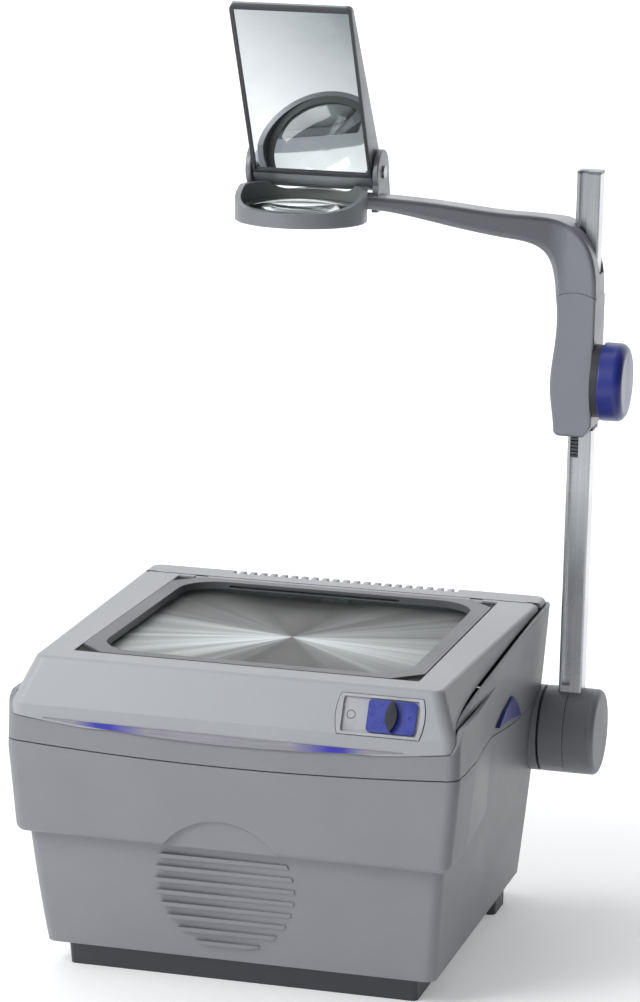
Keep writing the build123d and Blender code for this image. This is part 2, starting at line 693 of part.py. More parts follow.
# ---------------------------------------------------------------- post and hub
def make_pivot():
    """Fixed side of the post hinge: bracket, axle and friction washer."""
    disc = rod_x(HUB_RADIUS, 172, 185, HUB_Y, HUB_Z)
    fin = block(150, 185, HUB_Y + 2, HUB_Y + 30, HUB_Z - 24, HUB_Z + 24)
    bracket = disc + fin - body_form(0.25)
    bracket += rod_x(12, 150, 185, HUB_Y, HUB_Z)
    bracket -= rod_x(AXLE_RADIUS, 140, 190, HUB_Y, HUB_Z)
    add("pivot_bracket", bracket)

    axle = rod_x(AXLE_RADIUS, 142, AXLE_HEAD_X[0], HUB_Y, HUB_Z) + rod_x(10, *AXLE_HEAD_X, HUB_Y, HUB_Z)
    nut_face = Pos(HUB_Y, HUB_Z) * RegularPolygon(11, 6)
    axle += prism_x(nut_face, 142, 150)
    add("hub_axle", axle)
    washer = rod_x(32, 185, HUB_FACE_X - CLEAR, HUB_Y, HUB_Z)
    washer -= rod_x(AXLE_RADIUS, 180, 190, HUB_Y, HUB_Z)
    add("friction_washer", washer)


def post_socket():
    """Square hole in the hub for the foot of the post."""
    half_w = POST_WIDTH / 2
    half_d = POST_DEPTH / 2
    return block(POST_X - half_w, POST_X + half_w, HUB_Y - half_d, HUB_Y + half_d, POST_BOTTOM_Z, 220)


def make_hub():
    """Two drum halves that clamp the foot of the post, and an end cap."""
    bore = rod_x(AXLE_RADIUS + FIT, 180, 240, HUB_Y, HUB_Z)
    inner = rod_x(HUB_RADIUS, HUB_FACE_X, HUB_SPLIT_X - 0.15, HUB_Y, HUB_Z)
    inner = chamfer(inner.edges().filter_by(GeomType.CIRCLE), 0.6)
    add("hub_inner", inner - bore - post_socket())

    outer = rod_x(HUB_RADIUS, HUB_SPLIT_X + 0.15, HUB_END_X - 7, HUB_Y, HUB_Z)
    outer -= rod_x(11, AXLE_HEAD_X[0], 240, HUB_Y, HUB_Z)
    add("hub_outer", outer - bore - post_socket())

    cap = rod_x(HUB_RADIUS, HUB_END_X - 7, HUB_END_X, HUB_Y, HUB_Z)
    rim = cap.faces().sort_by(Axis.X)[-1].edges()
    add("hub_cap", fillet(rim, 5.0))


def make_post():
    """Square tube with a front slot for the rack, and its top cap."""
    half_w = POST_WIDTH / 2
    front = HUB_Y - POST_DEPTH / 2
    rear = HUB_Y + POST_DEPTH / 2
    body = block(POST_X - half_w, POST_X + half_w, front, rear, POST_BOTTOM_Z, POST_TOP_Z)
    body = fillet(body.edges().filter_by(Axis.Z), 1.5)
    slot_half = SLOT_WIDTH / 2
    body -= block(SLOT_X - slot_half, SLOT_X + slot_half, front - 1, front + 5.5, 198, POST_TOP_Z + 1)
    body -= block(SLOT_X + slot_half + 2, POST_X + half_w - 2, front + 2, rear - 2, 190, POST_TOP_Z + 1)
    body -= block(POST_X - half_w + 2, SLOT_X + slot_half, front + 7.5, rear - 2, 190, POST_TOP_Z + 1)
    body -= rod_x(AXLE_RADIUS + FIT, 190, 230, HUB_Y, HUB_Z)
    add("post_extrusion", body)

    cap = block(POST_X - half_w, POST_X + half_w, front, rear, POST_TOP_Z, POST_TOP_Z + 2.5)
    cap = fillet(cap.edges().filter_by(Axis.Z), 1.5)
    cap += block(SLOT_X + slot_half + 2.2, POST_X + half_w - 2.2, front + 2.2, rear - 2.2,
                 POST_TOP_Z - 6, POST_TOP_Z)
    cap -= block(SLOT_X - slot_half, SLOT_X + slot_half, front - 1, front + 5.5, POST_TOP_Z - 1,
                 POST_TOP_Z + 5)
    add("post_cap", cap)


def involute(angle):
    """Involute function of a pressure angle in radians."""
    return math.tan(angle) - angle


PRESSURE = math.radians(20)
BACKLASH = 0.3
ADDENDUM = 0.8
RACK_PITCH_Y = PINION_Y + PINION_TEETH * GEAR_MODULE / 2


def pinion_face():
    """Spur gear outline, drawn as (y, z), with one tooth gap facing +Y."""
    pitch_r = PINION_TEETH * GEAR_MODULE / 2
    base_r = pitch_r * math.cos(PRESSURE)
    half_tooth = math.pi / 2 / PINION_TEETH - BACKLASH / 4 / pitch_r
    radii = [pitch_r - 1.15, base_r, pitch_r - 0.2, pitch_r + 0.3, pitch_r + ADDENDUM]
    half_angles = []
    for radius in radii:
        reach = math.acos(min(1.0, base_r / max(radius, base_r)))
        half_angles.append(half_tooth + involute(PRESSURE) - involute(reach))
    points = []
    for tooth in range(PINION_TEETH):
        centre = 2 * math.pi * (tooth + 0.5) / PINION_TEETH
        for radius, half in zip(radii, half_angles):
            points.append((radius * math.cos(centre - half), radius * math.sin(centre - half)))
        for radius, half in zip(reversed(radii), reversed(half_angles)):
            points.append((radius * math.cos(centre + half), radius * math.sin(centre + half)))
    return make_face(Polyline(*points, close=True))


def make_rack():
    """Toothed strip in the post's slot. A tooth faces the pinion's axis at rest."""
    pitch = math.pi * GEAR_MODULE
    teeth_each_way = 22
    tip_y = RACK_PITCH_Y - ADDENDUM
    root_y = RACK_PITCH_Y + 1.15
    half_pitch = pitch / 4 - BACKLASH / 4
    half_tip = half_pitch - ADDENDUM * math.tan(PRESSURE)
    half_root = half_pitch + 1.15 * math.tan(PRESSURE)
    back_y = HUB_Y - POST_DEPTH / 2 + 5.5
    low = PINION_Z - (teeth_each_way + 0.5) * pitch
    high = PINION_Z + (teeth_each_way + 0.5) * pitch
    points = [(back_y, low), (root_y, low)]
    for index in range(-teeth_each_way, teeth_each_way + 1):
        z = PINION_Z + index * pitch
        points += [(root_y, z - half_root), (tip_y, z - half_tip)]
        points += [(tip_y, z + half_tip), (root_y, z + half_root)]
    points += [(root_y, high), (back_y, high)]
    face = make_face(Polyline(*points, close=True))
    add("rack", prism_x(face, SLOT_X - SLOT_WIDTH / 2, SLOT_X + SLOT_WIDTH / 2))


# ---------------------------------------------------------------- focus carriage
def carriage_outline():
    """Front view of the carriage, drawn as (x, z): bulged on the left, chamfered lower right."""
    low, high = CARRIAGE_Z
    left, right = CARRIAGE_X
    crown = ThreePointArc((right, high), ((left + right) / 2, high + CROWN_RISE), (left, high))
    side = Spline((left, high), (left, 500), (left - 2.5, PINION_Z - 8), (left + 1, low + 12),
                  (left + 1.5, low + 6))
    foot = ThreePointArc((left + 1.5, low + 6), (left + 3.2, low + 1.8), (left + 7.5, low))
    bottom = Polyline((left + 7.5, low), (right - 7, low), (right, low + 9), (right, high))
    return make_face(crown + side + foot + bottom)


def post_channel(gap, z0, z1):
    """Square space around the post."""
    half_w = POST_WIDTH / 2 + gap
    half_d = POST_DEPTH / 2 + gap
    return block(POST_X - half_w, POST_X + half_w, HUB_Y - half_d, HUB_Y + half_d, z0, z1)


def make_carriage():
    """Carriage in two halves around the post, its glide bushes and the pinion shaft."""
    low = CARRIAGE_Z[0]
    front_y, rear_y = CARRIAGE_Y
    body = prism_y(carriage_outline(), front_y, rear_y)
    rim = body.faces().sort_by(Axis.Y)[0].edges().filter_by_position(Axis.Z, low - 5, CARRIAGE_Z[1])
    body = fillet(rim, 2.5)
    body -= post_channel(1.7, low - 5, 560)
    body -= rod_x(PINION_TEETH * GEAR_MODULE / 2 + 2.2, SLOT_X - 5, SLOT_X + 5, PINION_Y, PINION_Z)
    body -= rod_x(4 + FIT, 180, 230, PINION_Y, PINION_Z)
    split_y = HUB_Y + 2
    add("carriage_front", body & block(150, 240, 100, split_y - 0.1, 400, 600))
    add("carriage_rear", body & block(150, 240, split_y + 0.1, 250, 400, 600))

    bushes = []
    for z in (low + 3, CARRIAGE_Z[1] - 18):
        bush = post_channel(1.6, z, z + 15) - post_channel(CLEAR, z - 1, z + 16)
        bushes.append(bush.solid())
    add("glide_bushes", Compound(children=bushes))

    shaft = rod_x(4, 192, 245, PINION_Y, PINION_Z)
    gear = Pos(0, PINION_Y, PINION_Z) * prism_x(pinion_face(), SLOT_X - 2.5, SLOT_X + 2.5)
    add("pinion", shaft + gear)


def make_knob():
    """Focus knob and the dark collar behind it."""
    knob = rod_x(KNOB_RADIUS, *KNOB_X, PINION_Y, PINION_Z)
    knob = fillet(knob.faces().sort_by(Axis.X)[-1].edges(), 8)
    knob = fillet(knob.faces().sort_by(Axis.X)[0].edges(), 1.5)
    knob -= rod_x(4, 220, 245, PINION_Y, PINION_Z)
    add("focus_knob", knob)
    collar = rod_x(KNOB_RADIUS - 2.5, 223.2, KNOB_X[0], PINION_Y, PINION_Z)
    add("knob_collar", collar - rod_x(4, 220, 235, PINION_Y, PINION_Z))


# ---------------------------------------------------------------- arm and head
def arm_front_view():
    """Swan neck seen from the front, drawn as (x, z)."""
    left, right = CARRIAGE_X
    root = 540.0
    tip = 20.0
    crown = [(right, root), (right - 0.7, 562), (218.5, 580), (209, 598), (192, 610), (150, 619.5),
             (100, 631), (52, 640), (tip, 643)]
    belly = [(tip, 632), (52, 628.5), (100, 614), (150, 598), (171, 590), (181, 578),
             (left - 2, 562), (left, root)]
    top = Spline(*crown, tangents=[(0, 1), (-1, 0.08)])
    under = Spline(*belly, tangents=[(1, -0.1), (0.05, -1)])
    return make_face(top + Line(top @ 1, under @ 0) + under + Line(under @ 1, top @ 0))


def arm_plan():
    """Swan neck seen from above: square over the carriage, then diagonal to the lens ring."""
    front, rear = CARRIAGE_Y
    left = CARRIAGE_X[0]
    outline = Polyline((240, front), (left, front), (20, -14), (20, 18), (172, 162), (left, rear),
                       (240, rear), close=True)
    face = make_face(outline)
    bends = face.vertices().filter_by_position(Axis.X, 160, 180)
    bends += face.vertices().filter_by_position(Axis.X, left - 1, left + 1).sort_by(Axis.Y)[:1]
    return fillet(bends, 25)


def make_arm():
    """Swan neck: rises off the carriage, bends forward to the left, reaches the lens ring."""
    arm = prism_y(arm_front_view(), -60, 230) & extrude(Pos(0, 0, 500) * arm_plan(), amount=200)
    rails = arm.edges().filter_by_position(Axis.Z, 541, 660).filter_by_position(Axis.X, 25, 240)
    arm = fillet(rails, 4.0)
    crown_z = CARRIAGE_Z[1] + CROWN_RISE - CROWN_RADIUS
    arm -= rod_y(CROWN_RADIUS + 0.3, sum(CARRIAGE_X) / 2, 100, 230, crown_z)
    arm -= post_channel(ARM_CLEAR, 530, 660)
    open_side = post_channel(ARM_CLEAR, ARM_OPEN_Z, 660)
    arm -= open_side + Pos(POST_WIDTH / 2, 0, 0) * open_side
    arm -= rod_z(HEAD_RADIUS, 0, 0, 580, 680)
    add("arm", arm.solids().sort_by(SortBy.VOLUME)[-1])
    return arm


def make_head(arm):
    """Lens ring, objective, retainer, mirror ears and hinge pins."""
    low, high = HEAD_Z
    ring = tube_z(HEAD_RADIUS, HEAD_RADIUS - 5, low, high)
    ring = fillet(ring.edges().filter_by(GeomType.CIRCLE).group_by(Axis.Z)[0], 1.5)
    ring += tube_z(HEAD_RADIUS - 4, LENS_RADIUS - 1, low, low + 2.5)
    scoop_radius = 150.0
    scoop = rod_x(scoop_radius, -80, 80, -60, 631 + scoop_radius)
    ring -= scoop & block(-80, 80, -80, 12, 600, 700)
    ring -= rod_x(MIRROR_ROOT_R + 2, -60, 60, MIRROR_PIVOT_Y, MIRROR_PIVOT_Z)
    add("lens_ring", ring)

    lens = rod_z(LENS_RADIUS, 0, 0, low + 2, low + 17) & dome(LENS_RADIUS, 7, low + 17)
    add("objective_lens", lens & bowl(LENS_RADIUS, 5, low + 2))
    retainer = tube_z(HEAD_RADIUS - 5, LENS_RADIUS, low + 2.5, low + 11)
    retainer += tube_z(HEAD_RADIUS - 5, LENS_RADIUS - 2, low + 11, low + 12.5)
    add("lens_retainer", retainer)

    for name, side in (("mirror_ear_left", -1), ("mirror_ear_right", 1)):
        x0, x1 = sorted((side * EAR_X[0], side * EAR_X[1]))
        ear = rod_x(EAR_RADIUS, x0, x1, MIRROR_PIVOT_Y, MIRROR_PIVOT_Z)
        ear = fillet(ear.edges().filter_by(GeomType.CIRCLE), 1.2)
        if side > 0:
            web = Polyline((32, 650), (62, 668), (76, 625), (30, 625), close=True)
            ear += prism_x(make_face(web), x0, x1)
        else:
            ear += block(x0, x1, 20, 62, low + 2, low + 24)
            ear += block(x0, -30, 20, 62, low + 2, low + 14)
        ear -= rod_z(HEAD_RADIUS, 0, 0, 600, 700)
        ear -= arm
        ear -= rod_x(3, x0 - 1, x1 + 1, MIRROR_PIVOT_Y, MIRROR_PIVOT_Z)
        solids = ear.solids().sort_by(SortBy.VOLUME)
        add(name, solids[-1])
    pins = []
    for side in (-1, 1):
        pin = rod_x(3, *sorted((side * 44.5, side * EAR_X[1])), MIRROR_PIVOT_Y, MIRROR_PIVOT_Z)
        head_x = sorted((side * EAR_X[1], side * (EAR_X[1] + 1.6)))
        pin += rod_x(5.5, *head_x, MIRROR_PIVOT_Y, MIRROR_PIVOT_Z)
        pins.append(pin.solid())
    add("mirror_pins", Compound(children=pins))


# ---------------------------------------------------------------- mirror
def mirror_place():
    """Plane of the mirror's side view: first axis up along the face, second out of its back."""
    lean = math.radians(MIRROR_LEAN)
    up = (0, -math.sin(lean), math.cos(lean))
    foot_y = MIRROR_PIVOT_Y - MIRROR_ROOT_R * math.cos(lean)
    foot_z = MIRROR_PIVOT_Z - MIRROR_ROOT_R * math.sin(lean)
    return Plane((0, foot_y, foot_z), x_dir=up, z_dir=(-1, 0, 0))


def mirror_slab(s0, s1, n0, n1, half_width):
    """Block in the mirror's own directions: s along the face, n behind it."""
    face = Pos((s0 + s1) / 2, (n0 + n1) / 2) * Rectangle(s1 - s0, n1 - n0)
    return extrude(mirror_place() * Pos(0, 0, -half_width) * face, amount=2 * half_width)


def mirror_outline():
    """Front view of the mirror, with rounded tip corners, run through its thickness."""
    half = MIRROR_WIDTH / 2
    root_s = -2 * MIRROR_ROOT_R
    sheet = Plane(mirror_place().origin, x_dir=(1, 0, 0), z_dir=mirror_place().y_dir)
    toe = sheet.y_dir.dot(mirror_place().x_dir)
    outline = make_face(Polyline((-half, toe * root_s), (half, toe * root_s), (half, toe * MIRROR_LENGTH),
                                 (-half, toe * MIRROR_LENGTH), close=True))
    tips = outline.vertices().filter_by_position(Axis.Y, *sorted((toe * (MIRROR_LENGTH - 1),
                                                                 toe * (MIRROR_LENGTH + 1))))
    return extrude(sheet * fillet(tips, MIRROR_CORNER), amount=60, both=True)


def mirror_wedge(inset, half_width):
    """Side view: thick round root at the hinge, thin tip."""
    root = Pos(0, MIRROR_ROOT_R) * Circle(MIRROR_ROOT_R - inset)
    tip = Pos(MIRROR_LENGTH - MIRROR_TIP_R, MIRROR_TIP_R) * Circle(MIRROR_TIP_R - min(inset, 2.5))
    outline = make_hull(root.edges() + tip.edges())
    return extrude(mirror_place() * Pos(0, 0, -half_width) * outline, amount=2 * half_width)


def make_mirror():
    """Wedge-shaped mirror shell, its bezel and the glass."""
    half = MIRROR_WIDTH / 2
    wedge = mirror_wedge(0, half) & mirror_outline()
    face_end = MIRROR_LENGTH - MIRROR_TIP_R
    shell = wedge - mirror_wedge(2.5, half - 2.5)
    shell -= mirror_slab(4, MIRROR_LENGTH + 1, -1, 2.2, half + 1)
    shell -= mirror_slab(5, face_end - 1, 2, 5.4, half - 2.3)
    for side in (-1, 1):
        boss = rod_x(7, *sorted((side * 44, side * (half - 1))), MIRROR_PIVOT_Y, MIRROR_PIVOT_Z)
        shell += boss
    shell -= rod_x(3 + FIT, -60, 60, MIRROR_PIVOT_Y, MIRROR_PIVOT_Z)
    add("mirror_shell", shell)

    bezel = wedge & mirror_slab(4.1, MIRROR_LENGTH + 1, -1, 2.1, half + 1)
    bezel -= mirror_slab(7, face_end - 1.5, -2, 4, half - 2.7)
    add("mirror_bezel", bezel)
    glass = mirror_slab(6, face_end - 2, 2.1, 5.1, half - 2.6)
    add("mirror_glass", glass)


# ---------------------------------------------------------------- build and write
def build():
    make_stage_lid()
    make_stage_frame()
    make_stage_optics()
    make_accent_strip()
    make_switch()
    make_power_slider()
    make_housings()
    make_rear_cover()
    make_release_button("release_button_right", 1)
    make_release_button("release_button_left", -1)
    make_base()
    make_light_engine()
    make_fan()
    make_inlet()
    make_interlock()
    make_pivot()
    make_hub()
    make_post()
    make_rack()
    make_carriage()
    make_knob()
    arm = make_arm()
    make_head(arm)
    make_mirror()


os.makedirs("parts", exist_ok=True)
build()
for name, shape in PARTS.items():
    export_step(shape, f"parts/{name}.step")
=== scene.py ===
"""Overhead projector: finishes, small hardware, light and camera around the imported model."""

import json
import math

import bmesh
import bpy
from mathutils import Matrix, Vector


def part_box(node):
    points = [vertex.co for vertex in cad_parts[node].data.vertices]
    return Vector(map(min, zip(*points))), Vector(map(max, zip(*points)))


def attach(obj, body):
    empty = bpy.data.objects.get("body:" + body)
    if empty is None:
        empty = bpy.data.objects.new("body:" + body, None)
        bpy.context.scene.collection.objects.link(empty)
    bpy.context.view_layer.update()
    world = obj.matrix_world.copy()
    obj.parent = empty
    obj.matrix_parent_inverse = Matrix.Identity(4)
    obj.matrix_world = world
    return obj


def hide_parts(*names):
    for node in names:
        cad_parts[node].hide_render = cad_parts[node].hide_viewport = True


bl_info = {
    "name": "Overhead projector",
    "version": (1, 0, 0),
    "blender": (4, 5, 0),
    "location": "3D View > Sidebar > Projector",
    "description": "Builds the looks of an overhead projector around its packed model",
    "category": "Object",
}

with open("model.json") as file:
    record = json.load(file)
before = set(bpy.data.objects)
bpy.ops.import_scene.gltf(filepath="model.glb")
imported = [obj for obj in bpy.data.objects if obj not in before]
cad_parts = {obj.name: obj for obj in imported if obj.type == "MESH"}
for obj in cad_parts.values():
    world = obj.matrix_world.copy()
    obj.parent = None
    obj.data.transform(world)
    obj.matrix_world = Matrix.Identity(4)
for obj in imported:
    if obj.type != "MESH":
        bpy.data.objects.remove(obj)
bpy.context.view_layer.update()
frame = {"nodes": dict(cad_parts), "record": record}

MM = 0.001
NODES = frame["nodes"]


# ------------------------------------------------------------------ sizes and colours to change
class ProjectorFinish(bpy.types.PropertyGroup):
    """Colours of the projector's mouldings, as sRGB hex values."""

    lid_colour: bpy.props.StringProperty(
        name="Lid", description="Moulded lid and stage frame", default="#A4A6AA")
    body_colour: bpy.props.StringProperty(
        name="Housing", description="Moulded lower and upper housing", default="#88898E")
    arm_colour: bpy.props.StringProperty(
        name="Arm", description="Painted arm and focus carriage", default="#8F9198")
    head_colour: bpy.props.StringProperty(
        name="Head", description="Lens ring, mirror shell and ears", default="#85888C")
    blue_colour: bpy.props.StringProperty(
        name="Controls", description="Knob, switch and release buttons", default="#1D2B86")
    dark_colour: bpy.props.StringProperty(
        name="Trim", description="Foot bar, bezels and other dark mouldings", default="#36373C")


class ProjectorDetail(bpy.types.PropertyGroup):
    """Sizes of the small hardware."""

    screw_diameter: bpy.props.FloatProperty(
        name="Screw head", description="Diameter of a housing screw's head",
        default=7.0 * MM, min=3.0 * MM, max=12.0 * MM, unit="LENGTH")
    guard_wire: bpy.props.FloatProperty(
        name="Guard wire", description="Thickness of the fan guard's wire",
        default=1.4 * MM, min=0.8 * MM, max=3.0 * MM, unit="LENGTH")
    groove_pitch: bpy.props.FloatProperty(
        name="Fresnel pitch", description="Spacing of the lens rings that can be seen",
        default=1.6 * MM, min=0.5 * MM, max=6.0 * MM, unit="LENGTH")


class ProjectorStudio(bpy.types.PropertyGroup):
    """Light and camera."""

    key_power: bpy.props.FloatProperty(
        name="Key light", description="Power of the large light at the front left",
        default=26.0, min=0.0, unit="POWER")
    fill_power: bpy.props.FloatProperty(
        name="Fill light", description="Power of the light at the right", default=1.0, min=0.0, unit="POWER")
    floor_colour: bpy.props.StringProperty(
        name="Floor", description="Colour of the floor and backdrop", default="#FBFBFB")
    lens: bpy.props.FloatProperty(
        name="Lens", description="Focal length of the camera", default=134.23, min=20.0, unit="CAMERA")


GROUPS = (
    ("projector_finish", ProjectorFinish),
    ("projector_detail", ProjectorDetail),
    ("projector_studio", ProjectorStudio),
)


def finish():
    return bpy.context.scene.projector_finish


def detail():
    return bpy.context.scene.projector_detail


# ------------------------------------------------------------------ helpers
def linear(text):
    """sRGB hex to a linear RGBA colour."""
    values = [int(text[i:i + 2], 16) / 255 for i in (1, 3, 5)]
    return tuple(v / 12.92 if v <= 0.04045 else ((v + 0.055) / 1.055) ** 2.4 for v in values) + (1.0,)


def scaled(colour, factor):
    """A linear colour made lighter or darker."""
    return tuple(min(1.0, c * factor) for c in colour[:3]) + (1.0,)


def add_node(tree, kind, inputs=None, **settings):
    """Adds a node with its settings. An input is a value, or the socket that feeds it."""
    made = tree.nodes.new(kind)
    for name, value in settings.items():
        setattr(made, name, value)
    for name, value in (inputs or {}).items():
        if isinstance(value, bpy.types.NodeSocket):
            tree.links.new(value, made.inputs[name])
        else:
            made.inputs[name].default_value = value
    return made


def new_surface(name):
    """Material with an empty tree and an output: gives the tree and its output node."""
    material = bpy.data.materials.new(name)
    material.use_nodes = True
    tree = material.node_tree
    tree.nodes.clear()
    return material, tree, tree.nodes.new("ShaderNodeOutputMaterial")


def close_surface(tree, output, shader):
    tree.links.new(shader.outputs[0], output.inputs["Surface"])


def object_point(tree):
    """Place on the piece, in metres."""
    return add_node(tree, "ShaderNodeTexCoord").outputs["Object"]


def cloud(tree, size, detail_level=3.0, stretch=(1.0, 1.0, 1.0)):
    """Noise whose blobs are about `size` metres across, longer along an axis where stretch is above 1."""
    scale = tuple(1.0 / (size * s) for s in stretch)
    place = add_node(tree, "ShaderNodeMapping", {"Vector": object_point(tree), "Scale": scale})
    return add_node(tree, "ShaderNodeTexNoise", {
        "Vector": place.outputs["Vector"], "Scale": 1.0, "Detail": detail_level, "Roughness": 0.55,
    }).outputs["Fac"]


def span(tree, value, low, high, to_low, to_high):
    """Maps low..high to another range, held at its ends."""
    return add_node(tree, "ShaderNodeMapRange", {
        "Value": value, "From Min": low, "From Max": high, "To Min": to_low, "To Max": to_high,
    }).outputs["Result"]


def blended(tree, factor, first, second):
    """Colour between two colours."""
    mix = add_node(tree, "ShaderNodeMix", data_type="RGBA")
    for index, value in ((0, factor), (6, first), (7, second)):
        if isinstance(value, bpy.types.NodeSocket):
            tree.links.new(value, mix.inputs[index])
        else:
            mix.inputs[index].default_value = value
    return mix.outputs[2]


def worn_and_highlit_edge(tree, radius):
    """1 on rims sharper than the radius, 0 on flats; it drives rim wear and a painted edge highlight."""
    soft = add_node(tree, "ShaderNodeBevel", {"Radius": radius}, samples=4)
    flat = add_node(tree, "ShaderNodeNewGeometry")
    match = add_node(tree, "ShaderNodeVectorMath", {0: soft.outputs["Normal"], 1: flat.outputs["Normal"]},
                     operation="DOT_PRODUCT")
    return span(tree, match.outputs["Value"], 0.98, 0.80, 0.0, 1.0)


def relief(tree, height, depth, radius=0.0):
    """Bump from a height, over edges rounded to a radius."""
    inputs = {"Height": height, "Distance": depth, "Strength": 1.0}
    if radius:
        inputs["Normal"] = add_node(tree, "ShaderNodeBevel", {"Radius": radius}, samples=4).outputs["Normal"]
    return add_node(tree, "ShaderNodeBump", inputs).outputs["Normal"]


SLOPE_RISE = 37.0 * MM
SLOPE_RUN = 17.5 * MM
SWITCH_POINT = Vector((0.0, -179.406 * MM, 251.0 * MM))


def slope_normal():
    """Outward direction of the lid's sloped front."""
    return Vector((0.0, -SLOPE_RISE, SLOPE_RUN)).normalized()


# ------------------------------------------------------------------ finishes
def spark_grained_abs(name, hex_colour, grain=0.9 * MM):
    """Injection-moulded ABS from a spark-eroded tool.

    The fine pebble breaks up highlights, and years of hands leave it a little
    glossier and paler on its rims; the paleness is partly wear and partly a painted highlight. The real
    grain is about 0.1 mm, drawn coarser to show.
    """
    material, tree, output = new_surface(name)
    base = linear(hex_colour)
    pebble = cloud(tree, grain, 2.0)
    mottle = cloud(tree, 70 * MM, 3.0)
    edge = worn_and_highlit_edge(tree, 1.1 * MM)
    tone = blended(tree, span(tree, mottle, 0.3, 0.7, 0.0, 1.0), scaled(base, 0.95), scaled(base, 1.04))
    fleck = blended(tree, span(tree, pebble, 0.35, 0.65, 0.0, 0.35), tone, scaled(base, 0.9))
    # Paler rims: partly wear, partly a painted highlight on the rounded edges.
    tone = blended(tree, span(tree, edge, 0.0, 1.0, 0.0, 0.3), fleck, scaled(base, 1.35))
    shader = add_node(tree, "ShaderNodeBsdfPrincipled", {
        "Base Color": tone, "Roughness": span(tree, mottle, 0.3, 0.7, 0.40, 0.50),
        "IOR": 1.53, "Specular IOR Level": 0.5,
        "Normal": relief(tree, pebble, 0.035 * MM, 0.9 * MM),
    })
    close_surface(tree, output, shader)
    return material


def gloss_abs(name, hex_colour, rough=0.27):
    """Polished-tool ABS: a deep even colour under a clear skin, with a faint orange peel."""
    material, tree, output = new_surface(name)
    base = linear(hex_colour)
    peel = cloud(tree, 5 * MM, 1.0)
    smear = cloud(tree, 24 * MM, 3.0, (1.0, 1.0, 2.5))
    tone = blended(tree, span(tree, smear, 0.3, 0.7, 0.0, 1.0), scaled(base, 0.9), scaled(base, 1.12))
    shader = add_node(tree, "ShaderNodeBsdfPrincipled", {
        "Base Color": tone, "Roughness": span(tree, smear, 0.3, 0.7, rough, rough + 0.12),
        "IOR": 1.54, "Coat Weight": 0.12, "Coat Roughness": 0.2,
        "Normal": relief(tree, peel, 0.02 * MM, 0.6 * MM),
    })
    close_surface(tree, output, shader)
    return material


def satin_paint(name, hex_colour):
    """Silver-grey baked paint on a die casting: fine metal flake, soft sheen, bright rims that are partly
    wear and partly a painted highlight.
    """
    material, tree, output = new_surface(name)
    base = linear(hex_colour)
    flake = cloud(tree, 0.6 * MM, 1.0)
    drift = cloud(tree, 45 * MM, 3.0)
    edge = worn_and_highlit_edge(tree, 0.9 * MM)
    tone = blended(tree, span(tree, flake, 0.3, 0.7, 0.0, 1.0), scaled(base, 0.90), scaled(base, 1.10))
    # Bright rims: partly wear, partly a painted highlight on the rounded edges.
    tone = blended(tree, span(tree, edge, 0.0, 1.0, 0.0, 0.35), tone, scaled(base, 1.5))
    shader = add_node(tree, "ShaderNodeBsdfPrincipled", {
        "Base Color": tone, "Metallic": 0.45,
        "Roughness": span(tree, drift, 0.3, 0.7, 0.30, 0.42),
        "Normal": relief(tree, flake, 0.006 * MM, 0.9 * MM),
    })
    close_surface(tree, output, shader)
    return material


def anodised_aluminium(name):
    """Clear-anodised extrusion: bright, with faint die lines along its length."""
    material, tree, output = new_surface(name)
    base = linear("#C6C8CB")
    die_lines = cloud(tree, 1.2 * MM, 2.0, (1.0, 1.0, 400.0))
    drift = cloud(tree, 60 * MM, 2.0)
    tone = blended(tree, span(tree, die_lines, 0.3, 0.7, 0.0, 1.0), scaled(base, 0.86), scaled(base, 1.02))
    shader = add_node(tree, "ShaderNodeBsdfPrincipled", {
        "Base Color": tone, "Metallic": 1.0,
        "Roughness": span(tree, drift, 0.3, 0.7, 0.24, 0.34),
        "Normal": relief(tree, die_lines, 0.012 * MM, 0.5 * MM),
    })
    close_surface(tree, output, shader)
    return material


def turned_steel(name, hex_colour="#A9AAAC"):
    """Turned and plated steel: tight tool rings seen as streaks, a little tarnish."""
    material, tree, output = new_surface(name)
    base = linear(hex_colour)
    rings = cloud(tree, 0.8 * MM, 2.0, (1.0, 12.0, 12.0))
    tarnish = cloud(tree, 12 * MM, 4.0)
    tone = blended(tree, span(tree, tarnish, 0.4, 0.75, 0.0, 0.6), base, scaled(base, 0.6))
    shader = add_node(tree, "ShaderNodeBsdfPrincipled", {
        "Base Color": tone, "Metallic": 1.0,
        "Roughness": span(tree, rings, 0.3, 0.7, 0.22, 0.42),
        "Normal": relief(tree, rings, 0.01 * MM, 0.3 * MM),
    })
    close_surface(tree, output, shader)
    return material


def zinc_sheet(name):
    """Zinc-plated sheet steel: soft spangle patches, cool and half dull."""
    material, tree, output = new_surface(name)
    place = add_node(tree, "ShaderNodeMapping", {"Vector": object_point(tree), "Scale": (90.0, 90.0, 90.0)})
    spangle = add_node(tree, "ShaderNodeTexVoronoi", {"Vector": place.outputs["Vector"], "Scale": 1.0})
    tone = blended(tree, span(tree, spangle.outputs["Distance"], 0.0, 0.9, 0.0, 1.0),
                   linear("#A8ADB2"), linear("#83888E"))
    shader = add_node(tree, "ShaderNodeBsdfPrincipled", {
        "Base Color": tone, "Metallic": 0.9,
        "Roughness": span(tree, spangle.outputs["Distance"], 0.0, 0.9, 0.32, 0.5),
        "Normal": relief(tree, spangle.outputs["Distance"], 0.02 * MM, 0.4 * MM),
    })
    close_surface(tree, output, shader)
    return material


